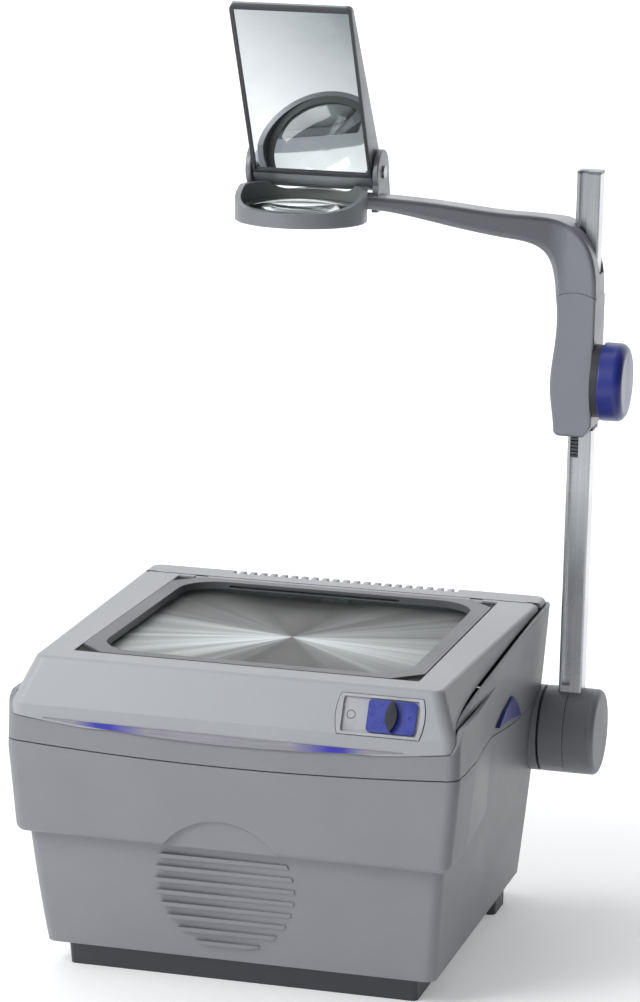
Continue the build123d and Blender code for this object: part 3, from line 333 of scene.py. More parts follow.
def nitrile_rubber(name, hex_colour="#17181A"):
    """Moulded rubber: nearly black, dusty bloom in its high spots."""
    material, tree, output = new_surface(name)
    bloom = cloud(tree, 3 * MM, 4.0)
    tone = blended(tree, span(tree, bloom, 0.5, 0.8, 0.0, 0.5), linear(hex_colour), linear("#3A3A3B"))
    shader = add_node(tree, "ShaderNodeBsdfPrincipled", {
        "Base Color": tone, "Roughness": span(tree, bloom, 0.3, 0.7, 0.62, 0.85),
        "IOR": 1.5, "Normal": relief(tree, bloom, 0.05 * MM, 0.4 * MM),
    })
    close_surface(tree, output, shader)
    return material


def float_glass(name, tint="#EEF6F3", rough=0.01):
    """Clear float glass: faint green cast, a trace of wiped dust."""
    material, tree, output = new_surface(name)
    wipe = cloud(tree, 30 * MM, 4.0, (3.0, 1.0, 1.0))
    clear = add_node(tree, "ShaderNodeBsdfPrincipled", {
        "Base Color": blended(tree, span(tree, wipe, 0.3, 0.7, 0.0, 1.0), linear(tint), linear("#F8FBFA")),
        "Roughness": span(tree, wipe, 0.4, 0.8, rough, rough + 0.06),
        "IOR": 1.52, "Transmission Weight": 1.0,
    })
    close_surface(tree, output, clear)
    return material


def fresnel_acrylic_painted_fans(name):
    """Pressed acrylic Fresnel lens over a dark well.

    The two broad silver fans that its fine rings throw, left and right of the centre and
    broken into narrow rays, are a painted reflection in the colour; the sectors between them stay smoky and
    dark.
    """
    material, tree, output = new_surface(name)
    split = add_node(tree, "ShaderNodeSeparateXYZ", {"Vector": object_point(tree)})
    flat = add_node(tree, "ShaderNodeCombineXYZ", {"X": split.outputs["X"], "Y": split.outputs["Y"]})
    radius = add_node(tree, "ShaderNodeVectorMath", {0: flat.outputs["Vector"]}, operation="LENGTH")
    aim = add_node(tree, "ShaderNodeVectorMath", {0: flat.outputs["Vector"]}, operation="NORMALIZE")
    rays = add_node(tree, "ShaderNodeTexNoise", {
        "Vector": aim.outputs["Vector"], "Scale": 4.2, "Detail": 5.0, "Roughness": 0.62})
    side = add_node(tree, "ShaderNodeVectorMath", {0: aim.outputs["Vector"], 1: (0.985, 0.17, 0.0)},
                    operation="DOT_PRODUCT")
    share = add_node(tree, "ShaderNodeMath", {0: side.outputs["Value"]}, operation="ABSOLUTE")
    # Painted reflection: the fans, brightest left and right, weaker towards the back and the rim.
    fan = span(tree, share.outputs["Value"], 0.30, 0.92, 0.0, 1.0)
    broken = span(tree, rays.outputs["Fac"], 0.36, 0.64, 0.45, 1.2)
    depth = add_node(tree, "ShaderNodeSeparateXYZ", {"Vector": aim.outputs["Vector"]})
    front = span(tree, depth.outputs["Y"], -0.25, 0.55, 1.0, 0.45)
    painted_open_fan = add_node(tree, "ShaderNodeMath", {0: fan, 1: front}, operation="MULTIPLY")
    painted_fan_glint = add_node(tree, "ShaderNodeMath", {0: painted_open_fan.outputs["Value"], 1: broken}, operation="MULTIPLY")
    faded = add_node(tree, "ShaderNodeMath", {
        0: painted_fan_glint.outputs["Value"], 1: span(tree, radius.outputs["Value"], 0.02, 0.17, 1.0, 0.35),
    }, operation="MULTIPLY")
    turns = add_node(tree, "ShaderNodeMath", {0: radius.outputs["Value"],
                                              1: 2 * math.pi / detail().groove_pitch}, operation="MULTIPLY")
    wave = add_node(tree, "ShaderNodeMath", {0: turns.outputs["Value"]}, operation="SINE")
    ringed = add_node(tree, "ShaderNodeMath", {
        0: faded.outputs["Value"], 1: span(tree, wave.outputs["Value"], -1.0, 1.0, 0.92, 1.08),
    }, operation="MULTIPLY")
    # Painted reflection: the fans lighten the dark well's colour towards bright silver.
    tone = blended(tree, span(tree, ringed.outputs["Value"], 0.0, 1.0, 0.0, 1.0),
                   linear("#2B2826"), linear("#F4F8F9"))
    shader = add_node(tree, "ShaderNodeBsdfPrincipled", {
        "Base Color": tone, "Roughness": 0.35, "Specular IOR Level": 0.08, "Anisotropic": 0.8,
        "Tangent": add_node(tree, "ShaderNodeTangent", direction_type="RADIAL", axis="Z").outputs["Tangent"],
    })
    close_surface(tree, output, shader)
    return material


def stage_pane(name):
    """Thin clear pane over the lens: mostly see-through, a cool skin of reflection, faint hand smears."""
    material, tree, output = new_surface(name)
    smear = cloud(tree, 40 * MM, 4.0, (2.5, 1.0, 1.0))
    shader = add_node(tree, "ShaderNodeBsdfPrincipled", {
        "Base Color": blended(tree, span(tree, smear, 0.3, 0.7, 0.0, 1.0),
                              linear("#9FB0AC"), linear("#B7C5C2")),
        "Roughness": span(tree, smear, 0.4, 0.8, 0.02, 0.10), "IOR": 1.52,
        "Alpha": span(tree, smear, 0.3, 0.8, 0.03, 0.07),
    })
    close_surface(tree, output, shader)
    return material


def printed_strip(name):
    """Anodised trim strip: soft grey in the middle and at its tips, fading to blue near both ends."""
    material, tree, output = new_surface(name)
    split = add_node(tree, "ShaderNodeSeparateXYZ", {"Vector": object_point(tree)})
    offset = add_node(tree, "ShaderNodeMath", {0: split.outputs["X"], 1: 8 * MM}, operation="ADD")
    reach = add_node(tree, "ShaderNodeMath", {0: offset.outputs["Value"]}, operation="ABSOLUTE")
    rising = span(tree, reach.outputs["Value"], 60 * MM, 92 * MM, 0.0, 1.0)
    falling = span(tree, reach.outputs["Value"], 104 * MM, 124 * MM, 1.0, 0.0)
    blue = add_node(tree, "ShaderNodeMath", {0: rising, 1: falling}, operation="MULTIPLY")
    brush = cloud(tree, 1.0 * MM, 2.0, (40.0, 1.0, 1.0))
    grey = blended(tree, span(tree, brush, 0.3, 0.7, 0.0, 1.0), linear("#85848A"), linear("#9A989F"))
    shader = add_node(tree, "ShaderNodeBsdfPrincipled", {
        "Base Color": blended(tree, blue.outputs["Value"], grey, linear("#3A37A8")),
        "Metallic": 0.3, "Roughness": span(tree, brush, 0.3, 0.7, 0.26, 0.40),
    })
    close_surface(tree, output, shader)
    return material


def switch_slider_abs(name, hex_colour):
    """Slider: blue plate, and a thumb fin that stands clear of it, coloured nearly black as painted shade.
    """
    material, tree, output = new_surface(name)
    normal = slope_normal()
    height = add_node(tree, "ShaderNodeVectorMath", {0: object_point(tree), 1: normal},
                      operation="DOT_PRODUCT")
    foot = SWITCH_POINT.dot(normal)
    # The fin above the plate is coloured nearly black: painted shade.
    fin = span(tree, height.outputs["Value"], foot + 1.6 * MM, foot + 2.2 * MM, 0.0, 1.0)
    smear = cloud(tree, 14 * MM, 3.0)
    base = linear(hex_colour)
    plate = blended(tree, span(tree, smear, 0.3, 0.7, 0.0, 1.0), scaled(base, 1.1), scaled(base, 1.5))
    shader = add_node(tree, "ShaderNodeBsdfPrincipled", {
        "Base Color": blended(tree, fin, plate, linear("#070B22")),
        "Roughness": span(tree, smear, 0.3, 0.7, 0.22, 0.34), "IOR": 1.54, "Coat Weight": 0.3,
    })
    close_surface(tree, output, shader)
    return material


def ring_darker_inside(name, hex_colour):
    """Satin silver paint outside, a darker matt grey inside the ring."""
    material, tree, output = new_surface(name)
    base = linear(hex_colour)
    split = add_node(tree, "ShaderNodeSeparateXYZ", {"Vector": object_point(tree)})
    flat = add_node(tree, "ShaderNodeCombineXYZ", {"X": split.outputs["X"], "Y": split.outputs["Y"]})
    radius = add_node(tree, "ShaderNodeVectorMath", {0: flat.outputs["Vector"]}, operation="LENGTH")
    # Inside the ring the colour turns a darker matt grey.
    inside = span(tree, radius.outputs["Value"], 50.3 * MM, 50.8 * MM, 1.0, 0.0)
    flake = cloud(tree, 0.6 * MM, 1.0)
    paint = blended(tree, span(tree, flake, 0.3, 0.7, 0.0, 1.0), scaled(base, 0.92), scaled(base, 1.08))
    shader = add_node(tree, "ShaderNodeBsdfPrincipled", {
        "Base Color": blended(tree, inside, paint, linear("#6B706E")),
        "Metallic": span(tree, inside, 0.0, 1.0, 0.45, 0.0),
        "Roughness": span(tree, inside, 0.0, 1.0, 0.36, 0.6),
        "Normal": relief(tree, flake, 0.006 * MM, 0.9 * MM),
    })
    close_surface(tree, output, shader)
    return material


def silvered_mirror(name):
    """Front-silvered plate: light at the lower left, turning darker grey towards the far upper corner as a
    painted reflection, with a little dust.
    """
    material, tree, output = new_surface(name)
    dust = cloud(tree, 35 * MM, 4.0)
    slant = add_node(tree, "ShaderNodeVectorMath", {0: object_point(tree), 1: (0.62, 0.0, 0.78)},
                     operation="DOT_PRODUCT")
    # Painted reflection: the colour darkens towards the far upper corner.
    painted_reflection_fade = span(tree, slant.outputs["Value"], 0.53, 0.66, 0.0, 1.0)
    silver = blended(tree, painted_reflection_fade, linear("#E9ECEE"), linear("#6E797B"))
    shader = add_node(tree, "ShaderNodeBsdfPrincipled", {
        "Base Color": blended(tree, span(tree, dust, 0.4, 0.8, 0.0, 0.35), silver, linear("#C4CACC")),
        "Metallic": 1.0, "Roughness": span(tree, dust, 0.45, 0.85, 0.015, 0.06),
    })
    close_surface(tree, output, shader)
    return material


def steatite(name):
    """Unglazed steatite ceramic: chalky cream with dark firing specks."""
    material, tree, output = new_surface(name)
    speck = cloud(tree, 0.9 * MM, 2.0)
    tone = blended(tree, span(tree, speck, 0.62, 0.75, 0.0, 1.0), linear("#E4DFD2"), linear("#A89E8B"))
    shader = add_node(tree, "ShaderNodeBsdfPrincipled", {
        "Base Color": tone, "Roughness": 0.7, "IOR": 1.6, "Normal": relief(tree, speck, 0.05 * MM, 0.4 * MM),
    })
    close_surface(tree, output, shader)
    return material


def enamelled_wire(name):
    """Enamelled copper winding: amber-red turns side by side, each about half a millimetre."""
    material, tree, output = new_surface(name)
    split = add_node(tree, "ShaderNodeSeparateXYZ", {"Vector": object_point(tree)})
    turns = add_node(tree, "ShaderNodeMath", {0: split.outputs["Z"], 1: 2 * math.pi / (0.9 * MM)},
                     operation="MULTIPLY")
    wave = add_node(tree, "ShaderNodeMath", {0: turns.outputs["Value"]}, operation="SINE")
    tone = blended(tree, span(tree, wave.outputs["Value"], -1.0, 1.0, 0.0, 1.0),
                   linear("#5A2410"), linear("#A85528"))
    shader = add_node(tree, "ShaderNodeBsdfPrincipled", {
        "Base Color": tone, "Metallic": 0.6, "Roughness": 0.3,
        "Normal": relief(tree, wave.outputs["Value"], 0.15 * MM),
    })
    close_surface(tree, output, shader)
    return material


def varnished_laminations(name):
    """Stacked core steel under dark varnish: thin level lines, uneven gloss."""
    material, tree, output = new_surface(name)
    sheets = cloud(tree, 0.7 * MM, 1.0, (60.0, 1.0, 60.0))
    tone = blended(tree, span(tree, sheets, 0.35, 0.65, 0.0, 1.0), linear("#2B2A2A"), linear("#4A4745"))
    shader = add_node(tree, "ShaderNodeBsdfPrincipled", {
        "Base Color": tone, "Metallic": 0.5, "Roughness": span(tree, sheets, 0.3, 0.7, 0.35, 0.6),
        "Normal": relief(tree, sheets, 0.08 * MM, 0.4 * MM),
    })
    close_surface(tree, output, shader)
    return material


def make_finishes():
    """One material for each of the record's slots, and one for each node that differs from its slot."""
    look = finish()
    return {
        "lid_plastic": spark_grained_abs("moulded_abs_lid", look.lid_colour),
        "body_plastic": spark_grained_abs("moulded_abs_housing", look.body_colour),
        "hub_plastic": spark_grained_abs("moulded_abs_hub", "#828388"),
        "dark_plastic": spark_grained_abs("moulded_abs_charcoal", look.dark_colour, 0.7 * MM),
        "switch_grey": gloss_abs("polished_abs_grey", "#A7A8AD", 0.28),
        "blue_plastic": gloss_abs("polished_abs_blue", look.blue_colour),
        "arm_plastic": satin_paint("satin_paint_arm", look.arm_colour),
        "head_plastic": satin_paint("satin_paint_head", look.head_colour),
        "aluminium": anodised_aluminium("anodised_aluminium"),
        "steel": turned_steel("turned_steel"),
        "rack_steel": turned_steel("milled_steel", "#6F7073"),
        "sheet_steel": zinc_sheet("zinc_plated_sheet"),
        "rubber": nitrile_rubber("nitrile_rubber"),
        "black_seal": nitrile_rubber("foam_rubber_seal", "#0B0B0C"),
        "clear_glass": float_glass("float_glass"),
        "lamp_quartz": float_glass("quartz_glass", "#FFFFFF"),
        "clear_acrylic": fresnel_acrylic_painted_fans("fresnel_acrylic_painted_fans"),
        "mirror_glass": silvered_mirror("silvered_mirror"),
        "ceramic": steatite("steatite_ceramic"),
        "copper_coil": enamelled_wire("enamelled_copper"),
        "core_steel": varnished_laminations("varnished_core"),
        "stage_frame": spark_grained_abs("moulded_abs_stage_frame", "#626468"),
        "stage_glass": stage_pane("stage_pane_glass"),
        "accent_strip": printed_strip("printed_trim_strip"),
        "accent_inlays": printed_strip("printed_trim_inlay"),
        "power_slider": switch_slider_abs("abs_slider_painted_fin_shade", look.blue_colour),
        "lens_ring": ring_darker_inside("satin_paint_darker_inside", look.head_colour),
        "lens_retainer": spark_grained_abs("moulded_abs_retainer", "#5E6361"),
    }


MATERIALS = {}


def make_finishes_once():
    """Fills the table of finishes the first time one is wanted."""
    if not MATERIALS:
        MATERIALS.update(make_finishes())
    return MATERIALS


def surface(slot):
    return make_finishes_once()[slot]


SLOT_OF_NODE = {part["node"]: part["material_slot"] for part in frame["record"]["subparts"]}


def finish_nodes(names):
    """Gives carried-over CAD nodes the finish of their record slot."""
    for name in names:
        if name not in NODES:
            raise RuntimeError(f"no CAD node {name}")
        data = NODES[name].data
        data.materials.clear()
        finishes = make_finishes_once()
        data.materials.append(finishes.get(name) or finishes[SLOT_OF_NODE[name]])


def place_mesh(name, mesh, body, slot, replaced=()):
    """Puts a finished mesh in the scene, on its body and slot."""
    piece = bpy.data.objects.new(name, mesh)
    bpy.context.scene.collection.objects.link(piece)
    if not mesh.materials:
        mesh.materials.append(surface(slot))
    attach(piece, body)
    if replaced:
        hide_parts(*replaced)
    return piece


def mesh_from_bmesh(name, shape, smooth_angle=35.0):
    """Closes a bmesh into a mesh with outward faces and smooth shading below an angle."""
    bmesh.ops.remove_doubles(shape, verts=shape.verts, dist=1e-6)
    bmesh.ops.recalc_face_normals(shape, faces=shape.faces)
    mesh = bpy.data.meshes.new(name)
    shape.to_mesh(mesh)
    shape.free()
    mesh.shade_smooth()
    mesh.set_sharp_from_angle(angle=math.radians(smooth_angle))
    return mesh


def tree_to_mesh(name, tree, values):
    """Runs a geometry tree on an empty mesh and returns its plain result."""
    carrier = bpy.data.objects.new(name + "_carrier", bpy.data.meshes.new(name + "_seed"))
    bpy.context.scene.collection.objects.link(carrier)
    modifier = carrier.modifiers.new("shape", "NODES")
    modifier.node_group = tree
    for item in tree.interface.items_tree:
        if item.item_type == "SOCKET" and item.in_out == "INPUT" and item.name in values:
            modifier[item.identifier] = values[item.name]
    bpy.context.view_layer.update()
    evaluated = carrier.evaluated_get(bpy.context.evaluated_depsgraph_get())
    mesh = bpy.data.meshes.new_from_object(evaluated)
    carrier.modifiers.remove(modifier)
    bpy.data.objects.remove(carrier)
    mesh.name = name
    return mesh


def new_tree(name, inputs):
    """Geometry tree with named inputs and one geometry output."""
    tree = bpy.data.node_groups.new(name, "GeometryNodeTree")
    tree.interface.new_socket("Geometry", in_out="OUTPUT", socket_type="NodeSocketGeometry")
    for label, kind, value in inputs:
        tree.interface.new_socket(label, in_out="INPUT", socket_type=kind).default_value = value
    return tree, tree.nodes.new("NodeGroupInput"), tree.nodes.new("NodeGroupOutput")


def finish_tree(tree, output, geometry, material):
    """Every tree ends in real meshes with their material."""
    real = add_node(tree, "GeometryNodeRealizeInstances", {"Geometry": geometry})
    coated = add_node(tree, "GeometryNodeSetMaterial", {"Geometry": real.outputs["Geometry"]})
    coated.inputs["Material"].default_value = material
    tree.links.new(coated.outputs["Geometry"], output.inputs["Geometry"])


# ------------------------------------------------------------------ finish operators
class FinishOperator:
    """Shared body of the operators that finish a group of CAD nodes."""

    bl_options = {"REGISTER", "UNDO"}
    names = ()

    def execute(self, context):
        finish_nodes(self.names)
        return {"FINISHED"}


class PROJECTOR_OT_housing(FinishOperator, bpy.types.Operator):
    """Finish the housings, rear cover, feet and base"""

    bl_idname = "projector.housing"
    bl_label = "Housing"
    names = ("lower_housing", "upper_housing", "rear_cover", "base_plate", "front_foot_bar", "rear_feet",
             "rubber_pads", "lid_hinge_pins", "interlock_switch", "power_inlet")


class PROJECTOR_OT_lid(FinishOperator, bpy.types.Operator):
    """Finish the lid, stage frame, gasket, glass and Fresnel lens"""

    bl_idname = "projector.lid"
    bl_label = "Lid and stage"
    names = ("stage_lid", "stage_frame", "stage_gasket", "stage_glass", "fresnel_lens", "lens_clips",
             "accent_strip", "accent_inlays")


class PROJECTOR_OT_controls(FinishOperator, bpy.types.Operator):
    """Finish the switch and the release buttons"""

    bl_idname = "projector.controls"
    bl_label = "Controls"
    names = ("switch_bezel", "switch_body", "power_slider", "release_button_right", "release_button_left")


class PROJECTOR_OT_light_engine(FinishOperator, bpy.types.Operator):
    """Finish the lamp, condenser, fan and transformer"""

    bl_idname = "projector.light_engine"
    bl_label = "Light engine"
    names = ("lamp_bracket", "lamp_socket", "lamp", "reflector", "lamp_house", "condenser_lens",
             "transformer_core", "transformer_coil", "fan_housing", "fan_bracket", "fan_rotor")


class PROJECTOR_OT_post(FinishOperator, bpy.types.Operator):
    """Finish the pivot, hub, post and rack"""

    bl_idname = "projector.post"
    bl_label = "Post and hub"
    names = ("pivot_bracket", "hub_axle", "friction_washer", "hub_inner", "hub_outer", "hub_cap",
             "post_extrusion", "post_cap", "rack")


class PROJECTOR_OT_carriage(FinishOperator, bpy.types.Operator):
    """Finish the focus carriage, its knob and the arm"""

    bl_idname = "projector.carriage"
    bl_label = "Carriage and arm"
    names = ("carriage_front", "carriage_rear", "glide_bushes", "arm", "focus_knob", "knob_collar", "pinion")


class PROJECTOR_OT_head(FinishOperator, bpy.types.Operator):
    """Finish the lens ring, lens, ears and mirror"""

    bl_idname = "projector.head"
    bl_label = "Head and mirror"
    names = ("lens_ring", "objective_lens", "lens_retainer", "mirror_ear_left", "mirror_ear_right",
             "mirror_pins", "mirror_shell", "mirror_bezel", "mirror_glass")


# ------------------------------------------------------------------ small hardware
HEAD_THICKNESS = 0.22        # share of the head's diameter
RECESS_LENGTH = 1.1          # shares of the head's radius
RECESS_WIDTH = 0.28
RECESS_DROP = 2.2 * MM
CAD_HEAD_WIDTH = 8 * MM


def screw_tree():
    """Cross-recess pan-head screws on a list of points given as a grid."""
    tree, given, output = new_tree("screw_row", [
        ("Head diameter", "NodeSocketFloat", 7.0 * MM),
        ("Spacing X", "NodeSocketFloat", 0.24),
        ("Spacing Y", "NodeSocketFloat", 0.17),
        ("Corner", "NodeSocketVector", (0.0, 0.0, 0.0)),
    ])
    half = add_node(tree, "ShaderNodeMath", {0: given.outputs["Head diameter"], 1: 0.5},
                    operation="MULTIPLY")
    thick = add_node(tree, "ShaderNodeMath", {0: given.outputs["Head diameter"], 1: HEAD_THICKNESS},
                     operation="MULTIPLY")
    head = add_node(tree, "GeometryNodeMeshCylinder", {"Vertices": 32, "Radius": half.outputs[0],
                                                       "Depth": thick.outputs[0]})
    long_side = add_node(tree, "ShaderNodeMath", {0: half.outputs[0], 1: RECESS_LENGTH},
                         operation="MULTIPLY")
    short_side = add_node(tree, "ShaderNodeMath", {0: half.outputs[0], 1: RECESS_WIDTH},
                          operation="MULTIPLY")
    slots = []
    for first, second in ((long_side, short_side), (short_side, long_side)):
        size = add_node(tree, "ShaderNodeCombineXYZ", {
            "X": first.outputs[0], "Y": second.outputs[0], "Z": half.outputs[0]})
        bar = add_node(tree, "GeometryNodeMeshCube", {"Size": size.outputs["Vector"]})
        drop = add_node(tree, "ShaderNodeCombineXYZ", {"Z": -RECESS_DROP})
        lowered = add_node(tree, "GeometryNodeTransform", {
            "Geometry": bar.outputs["Mesh"], "Translation": drop.outputs["Vector"]})
        slots.append(lowered.outputs["Geometry"])
    cut = add_node(tree, "GeometryNodeMeshBoolean", operation="DIFFERENCE", solver="EXACT")
    tree.links.new(head.outputs["Mesh"], cut.inputs["Mesh 1"])
    for bar in slots:
        tree.links.new(bar, cut.inputs["Mesh 2"])
    grid = add_node(tree, "GeometryNodeMeshGrid", {
        "Size X": given.outputs["Spacing X"], "Size Y": given.outputs["Spacing Y"],
        "Vertices X": 2, "Vertices Y": 2})
    moved = add_node(tree, "GeometryNodeTransform", {
        "Geometry": grid.outputs["Mesh"], "Translation": given.outputs["Corner"]})
    spread = add_node(tree, "GeometryNodeInstanceOnPoints", {
        "Points": moved.outputs["Geometry"], "Instance": cut.outputs["Mesh"]})
    finish_tree(tree, output, spread.outputs["Instances"], surface("steel"))
    return tree


class PROJECTOR_OT_base_screws(bpy.types.Operator):
    """Make the four screws under the base"""

    bl_idname = "projector.base_screws"
    bl_label = "Base screws"
    bl_options = {"REGISTER", "UNDO"}

    def execute(self, context):
        low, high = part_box("base_screws")
        middle = (low + high) / 2
        head = detail().screw_diameter
        mesh = tree_to_mesh("base_screw_heads", screw_tree(), {
            "Head diameter": head,
            "Spacing X": high.x - low.x - CAD_HEAD_WIDTH,
            "Spacing Y": high.y - low.y - CAD_HEAD_WIDTH,
            "Corner": Vector((middle.x, middle.y, high.z - HEAD_THICKNESS / 2 * head)),
        })
        place_mesh("base_screw_heads", mesh, "housing", "steel", ("base_screws",))
        return {"FINISHED"}


def guard_tree():
    """Wire fan guard: rings about an axis, tied by radial bars."""
    tree, given, output = new_tree("fan_guard", [
        ("Wire", "NodeSocketFloat", 1.4 * MM),
        ("Radius", "NodeSocketFloat", 43.0 * MM),
        ("Rings", "NodeSocketInt", 6),
        ("Centre", "NodeSocketVector", (0.0, 0.0, 0.0)),
    ])
    thin = add_node(tree, "ShaderNodeMath", {0: given.outputs["Wire"], 1: 0.5}, operation="MULTIPLY")
    section = add_node(tree, "GeometryNodeCurvePrimitiveCircle", {
        "Resolution": 10, "Radius": thin.outputs[0]})
    circle = add_node(tree, "GeometryNodeCurvePrimitiveCircle", {"Resolution": 72, "Radius": 1.0})
    steps = add_node(tree, "GeometryNodeMeshLine", {
        "Count": given.outputs["Rings"], "Offset": (0.0, 0.0, 0.0)})
    index = add_node(tree, "GeometryNodeInputIndex")
    part = add_node(tree, "ShaderNodeMath", {0: index.outputs[0], 1: 1.0}, operation="ADD")
    share = add_node(tree, "ShaderNodeMath", {0: part.outputs[0], 1: given.outputs["Rings"]},
                     operation="DIVIDE")
    size = add_node(tree, "ShaderNodeMath", {0: share.outputs[0], 1: given.outputs["Radius"]},
                    operation="MULTIPLY")
    rings = add_node(tree, "GeometryNodeInstanceOnPoints", {
        "Points": steps.outputs["Mesh"], "Instance": circle.outputs["Curve"], "Scale": size.outputs[0]})
    real_rings = add_node(tree, "GeometryNodeRealizeInstances", {"Geometry": rings.outputs["Instances"]})
    far = add_node(tree, "ShaderNodeCombineXYZ", {"X": given.outputs["Radius"]})
    spoke = add_node(tree, "GeometryNodeCurvePrimitiveLine", {"End": far.outputs["Vector"]})
    hub = add_node(tree, "GeometryNodeMeshLine", {"Count": 4, "Offset": (0.0, 0.0, 0.0)})
    quarter = add_node(tree, "ShaderNodeMath", {0: index.outputs[0], 1: math.pi / 2}, operation="MULTIPLY")
    turn = add_node(tree, "ShaderNodeCombineXYZ", {"Z": quarter.outputs[0]})
    spokes = add_node(tree, "GeometryNodeInstanceOnPoints", {
        "Points": hub.outputs["Mesh"], "Instance": spoke.outputs["Curve"],
        "Rotation": turn.outputs["Vector"]})
    real_spokes = add_node(tree, "GeometryNodeRealizeInstances", {"Geometry": spokes.outputs["Instances"]})
    both = add_node(tree, "GeometryNodeJoinGeometry")
    for part_out in (real_rings, real_spokes):
        tree.links.new(part_out.outputs["Geometry"], both.inputs["Geometry"])
    wire = add_node(tree, "GeometryNodeCurveToMesh", {
        "Curve": both.outputs["Geometry"], "Profile Curve": section.outputs["Curve"], "Fill Caps": True})
    stand = add_node(tree, "GeometryNodeTransform", {
        "Geometry": wire.outputs["Mesh"], "Translation": given.outputs["Centre"]})
    stand.inputs["Rotation"].default_value = (0.0, math.pi / 2, 0.0)
    finish_tree(tree, output, stand.outputs["Geometry"], surface("steel"))
    return tree


class PROJECTOR_OT_fan_guard(bpy.types.Operator):
    """Make the wire guard on the fan's inner side"""

    bl_idname = "projector.fan_guard"
    bl_label = "Fan guard"
    bl_options = {"REGISTER", "UNDO"}

    def execute(self, context):
        low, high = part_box("fan_housing")
        middle = (low + high) / 2
        wire = detail().guard_wire
        mesh = tree_to_mesh("fan_guard", guard_tree(), {
            "Wire": wire, "Radius": 43.0 * MM, "Rings": 6,
            "Centre": Vector((high.x + wire / 2, middle.y, middle.z)),
        })
        mesh.shade_smooth()
        place_mesh("fan_guard", mesh, "housing", "steel")
        return {"FINISHED"}


MARK_INSET = 12.0 * MM       # from the bezel's left edge
MARK_DEPTH = 1.75 * MM       # below the slope, low enough for the slider to pass over
MARK_RADIUS = 3.4 * MM
MARK_WIRE = 0.35 * MM
MARK_STEPS = 48


class PROJECTOR_OT_switch_mark(bpy.types.Operator):
    """Make the raised ring that marks the off side of the switch"""

    bl_idname = "projector.switch_mark"
    bl_label = "Switch mark"
    bl_options = {"REGISTER", "UNDO"}

    def execute(self, context):
        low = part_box("switch_bezel")[0]
        normal = slope_normal()
        across = Vector((1.0, 0.0, 0.0))
        up = normal.cross(across)
        face = SWITCH_POINT + across * (low.x + MARK_INSET) - normal * MARK_DEPTH
        place = Matrix((across, up, normal)).transposed().to_4x4()
        place.translation = face
        radius = MARK_RADIUS
        wire = MARK_WIRE
        shape = bmesh.new()
        rows = []
        for i in range(MARK_STEPS):
            angle = 2 * math.pi * i / MARK_STEPS
            rows.append([shape.verts.new((
                (radius + wire * math.cos(a)) * math.cos(angle),
                (radius + wire * math.cos(a)) * math.sin(angle),
                wire * math.sin(a))) for a in [math.pi * k / 4 for k in range(8)]])
        for i in range(MARK_STEPS):
            for k in range(8):
                shape.faces.new((rows[i][k], rows[(i + 1) % MARK_STEPS][k],
                                 rows[(i + 1) % MARK_STEPS][(k + 1) % 8], rows[i][(k + 1) % 8]))
        shape.transform(place)
        mesh = mesh_from_bmesh("switch_off_mark", shape, 60.0)
        mesh.materials.append(surface("dark_plastic"))
        place_mesh("switch_off_mark", mesh, "lid", "dark_plastic")
        return {"FINISHED"}


# ------------------------------------------------------------------ studio
CAMERA_PLACE = (0.8241, -2.9669, 1.0387)
CAMERA_YAW = math.radians(15.131)
CAMERA_PITCH = math.radians(12.048)
CAMERA_ROLL = math.radians(1.277)


def camera_turn():
    """Rotation of a camera that looks along +Y, turned left, tipped down and rolled."""
    yaw, pitch, roll = CAMERA_YAW, CAMERA_PITCH, CAMERA_ROLL
    ahead = Vector((-math.sin(yaw) * math.cos(pitch), math.cos(yaw) * math.cos(pitch), -math.sin(pitch)))
    right = Vector((math.cos(yaw), math.sin(yaw), 0.0))
    up = right.cross(ahead)
    rolled_right = math.cos(roll) * right + math.sin(roll) * up
    rolled_up = math.cos(roll) * up - math.sin(roll) * right
    return Matrix((rolled_right, rolled_up, -ahead)).transposed()


def area_light(name, place, target, size, power, colour=(1.0, 1.0, 1.0)):
    """Soft square light aimed at a point."""
    data = bpy.data.lights.new(name, "AREA")
    data.shape = "SQUARE"
    data.size = size
    data.energy = power
    data.color = colour
    light = bpy.data.objects.new(name, data)
    light.location = place
    light.rotation_euler = (Vector(target) - Vector(place)).to_track_quat("-Z", "Y").to_euler()
    bpy.context.scene.collection.objects.link(light)
    return light


def sweep_backdrop():
    """Floor that curves up into a wall behind the object, in one sheet."""
    half_width = 6.0
    wall_y = 5.0
    bend = 1.5
    profile = [(-7.0, 0.0), (wall_y - bend, 0.0)]
    for i in range(1, 13):
        angle = math.pi / 2 * i / 12
        profile.append((wall_y - bend + bend * math.sin(angle), bend - bend * math.cos(angle)))
    profile.append((wall_y, 7.0))
    shape = bmesh.new()
    left = [shape.verts.new((-half_width, y, z)) for y, z in profile]
    right = [shape.verts.new((half_width, y, z)) for y, z in profile]
    for i in range(len(profile) - 1):
        shape.faces.new((left[i], right[i], right[i + 1], left[i + 1]))
    mesh = bpy.data.meshes.new("floor")
    shape.to_mesh(mesh)
    shape.free()
    mesh.shade_smooth()
    return mesh


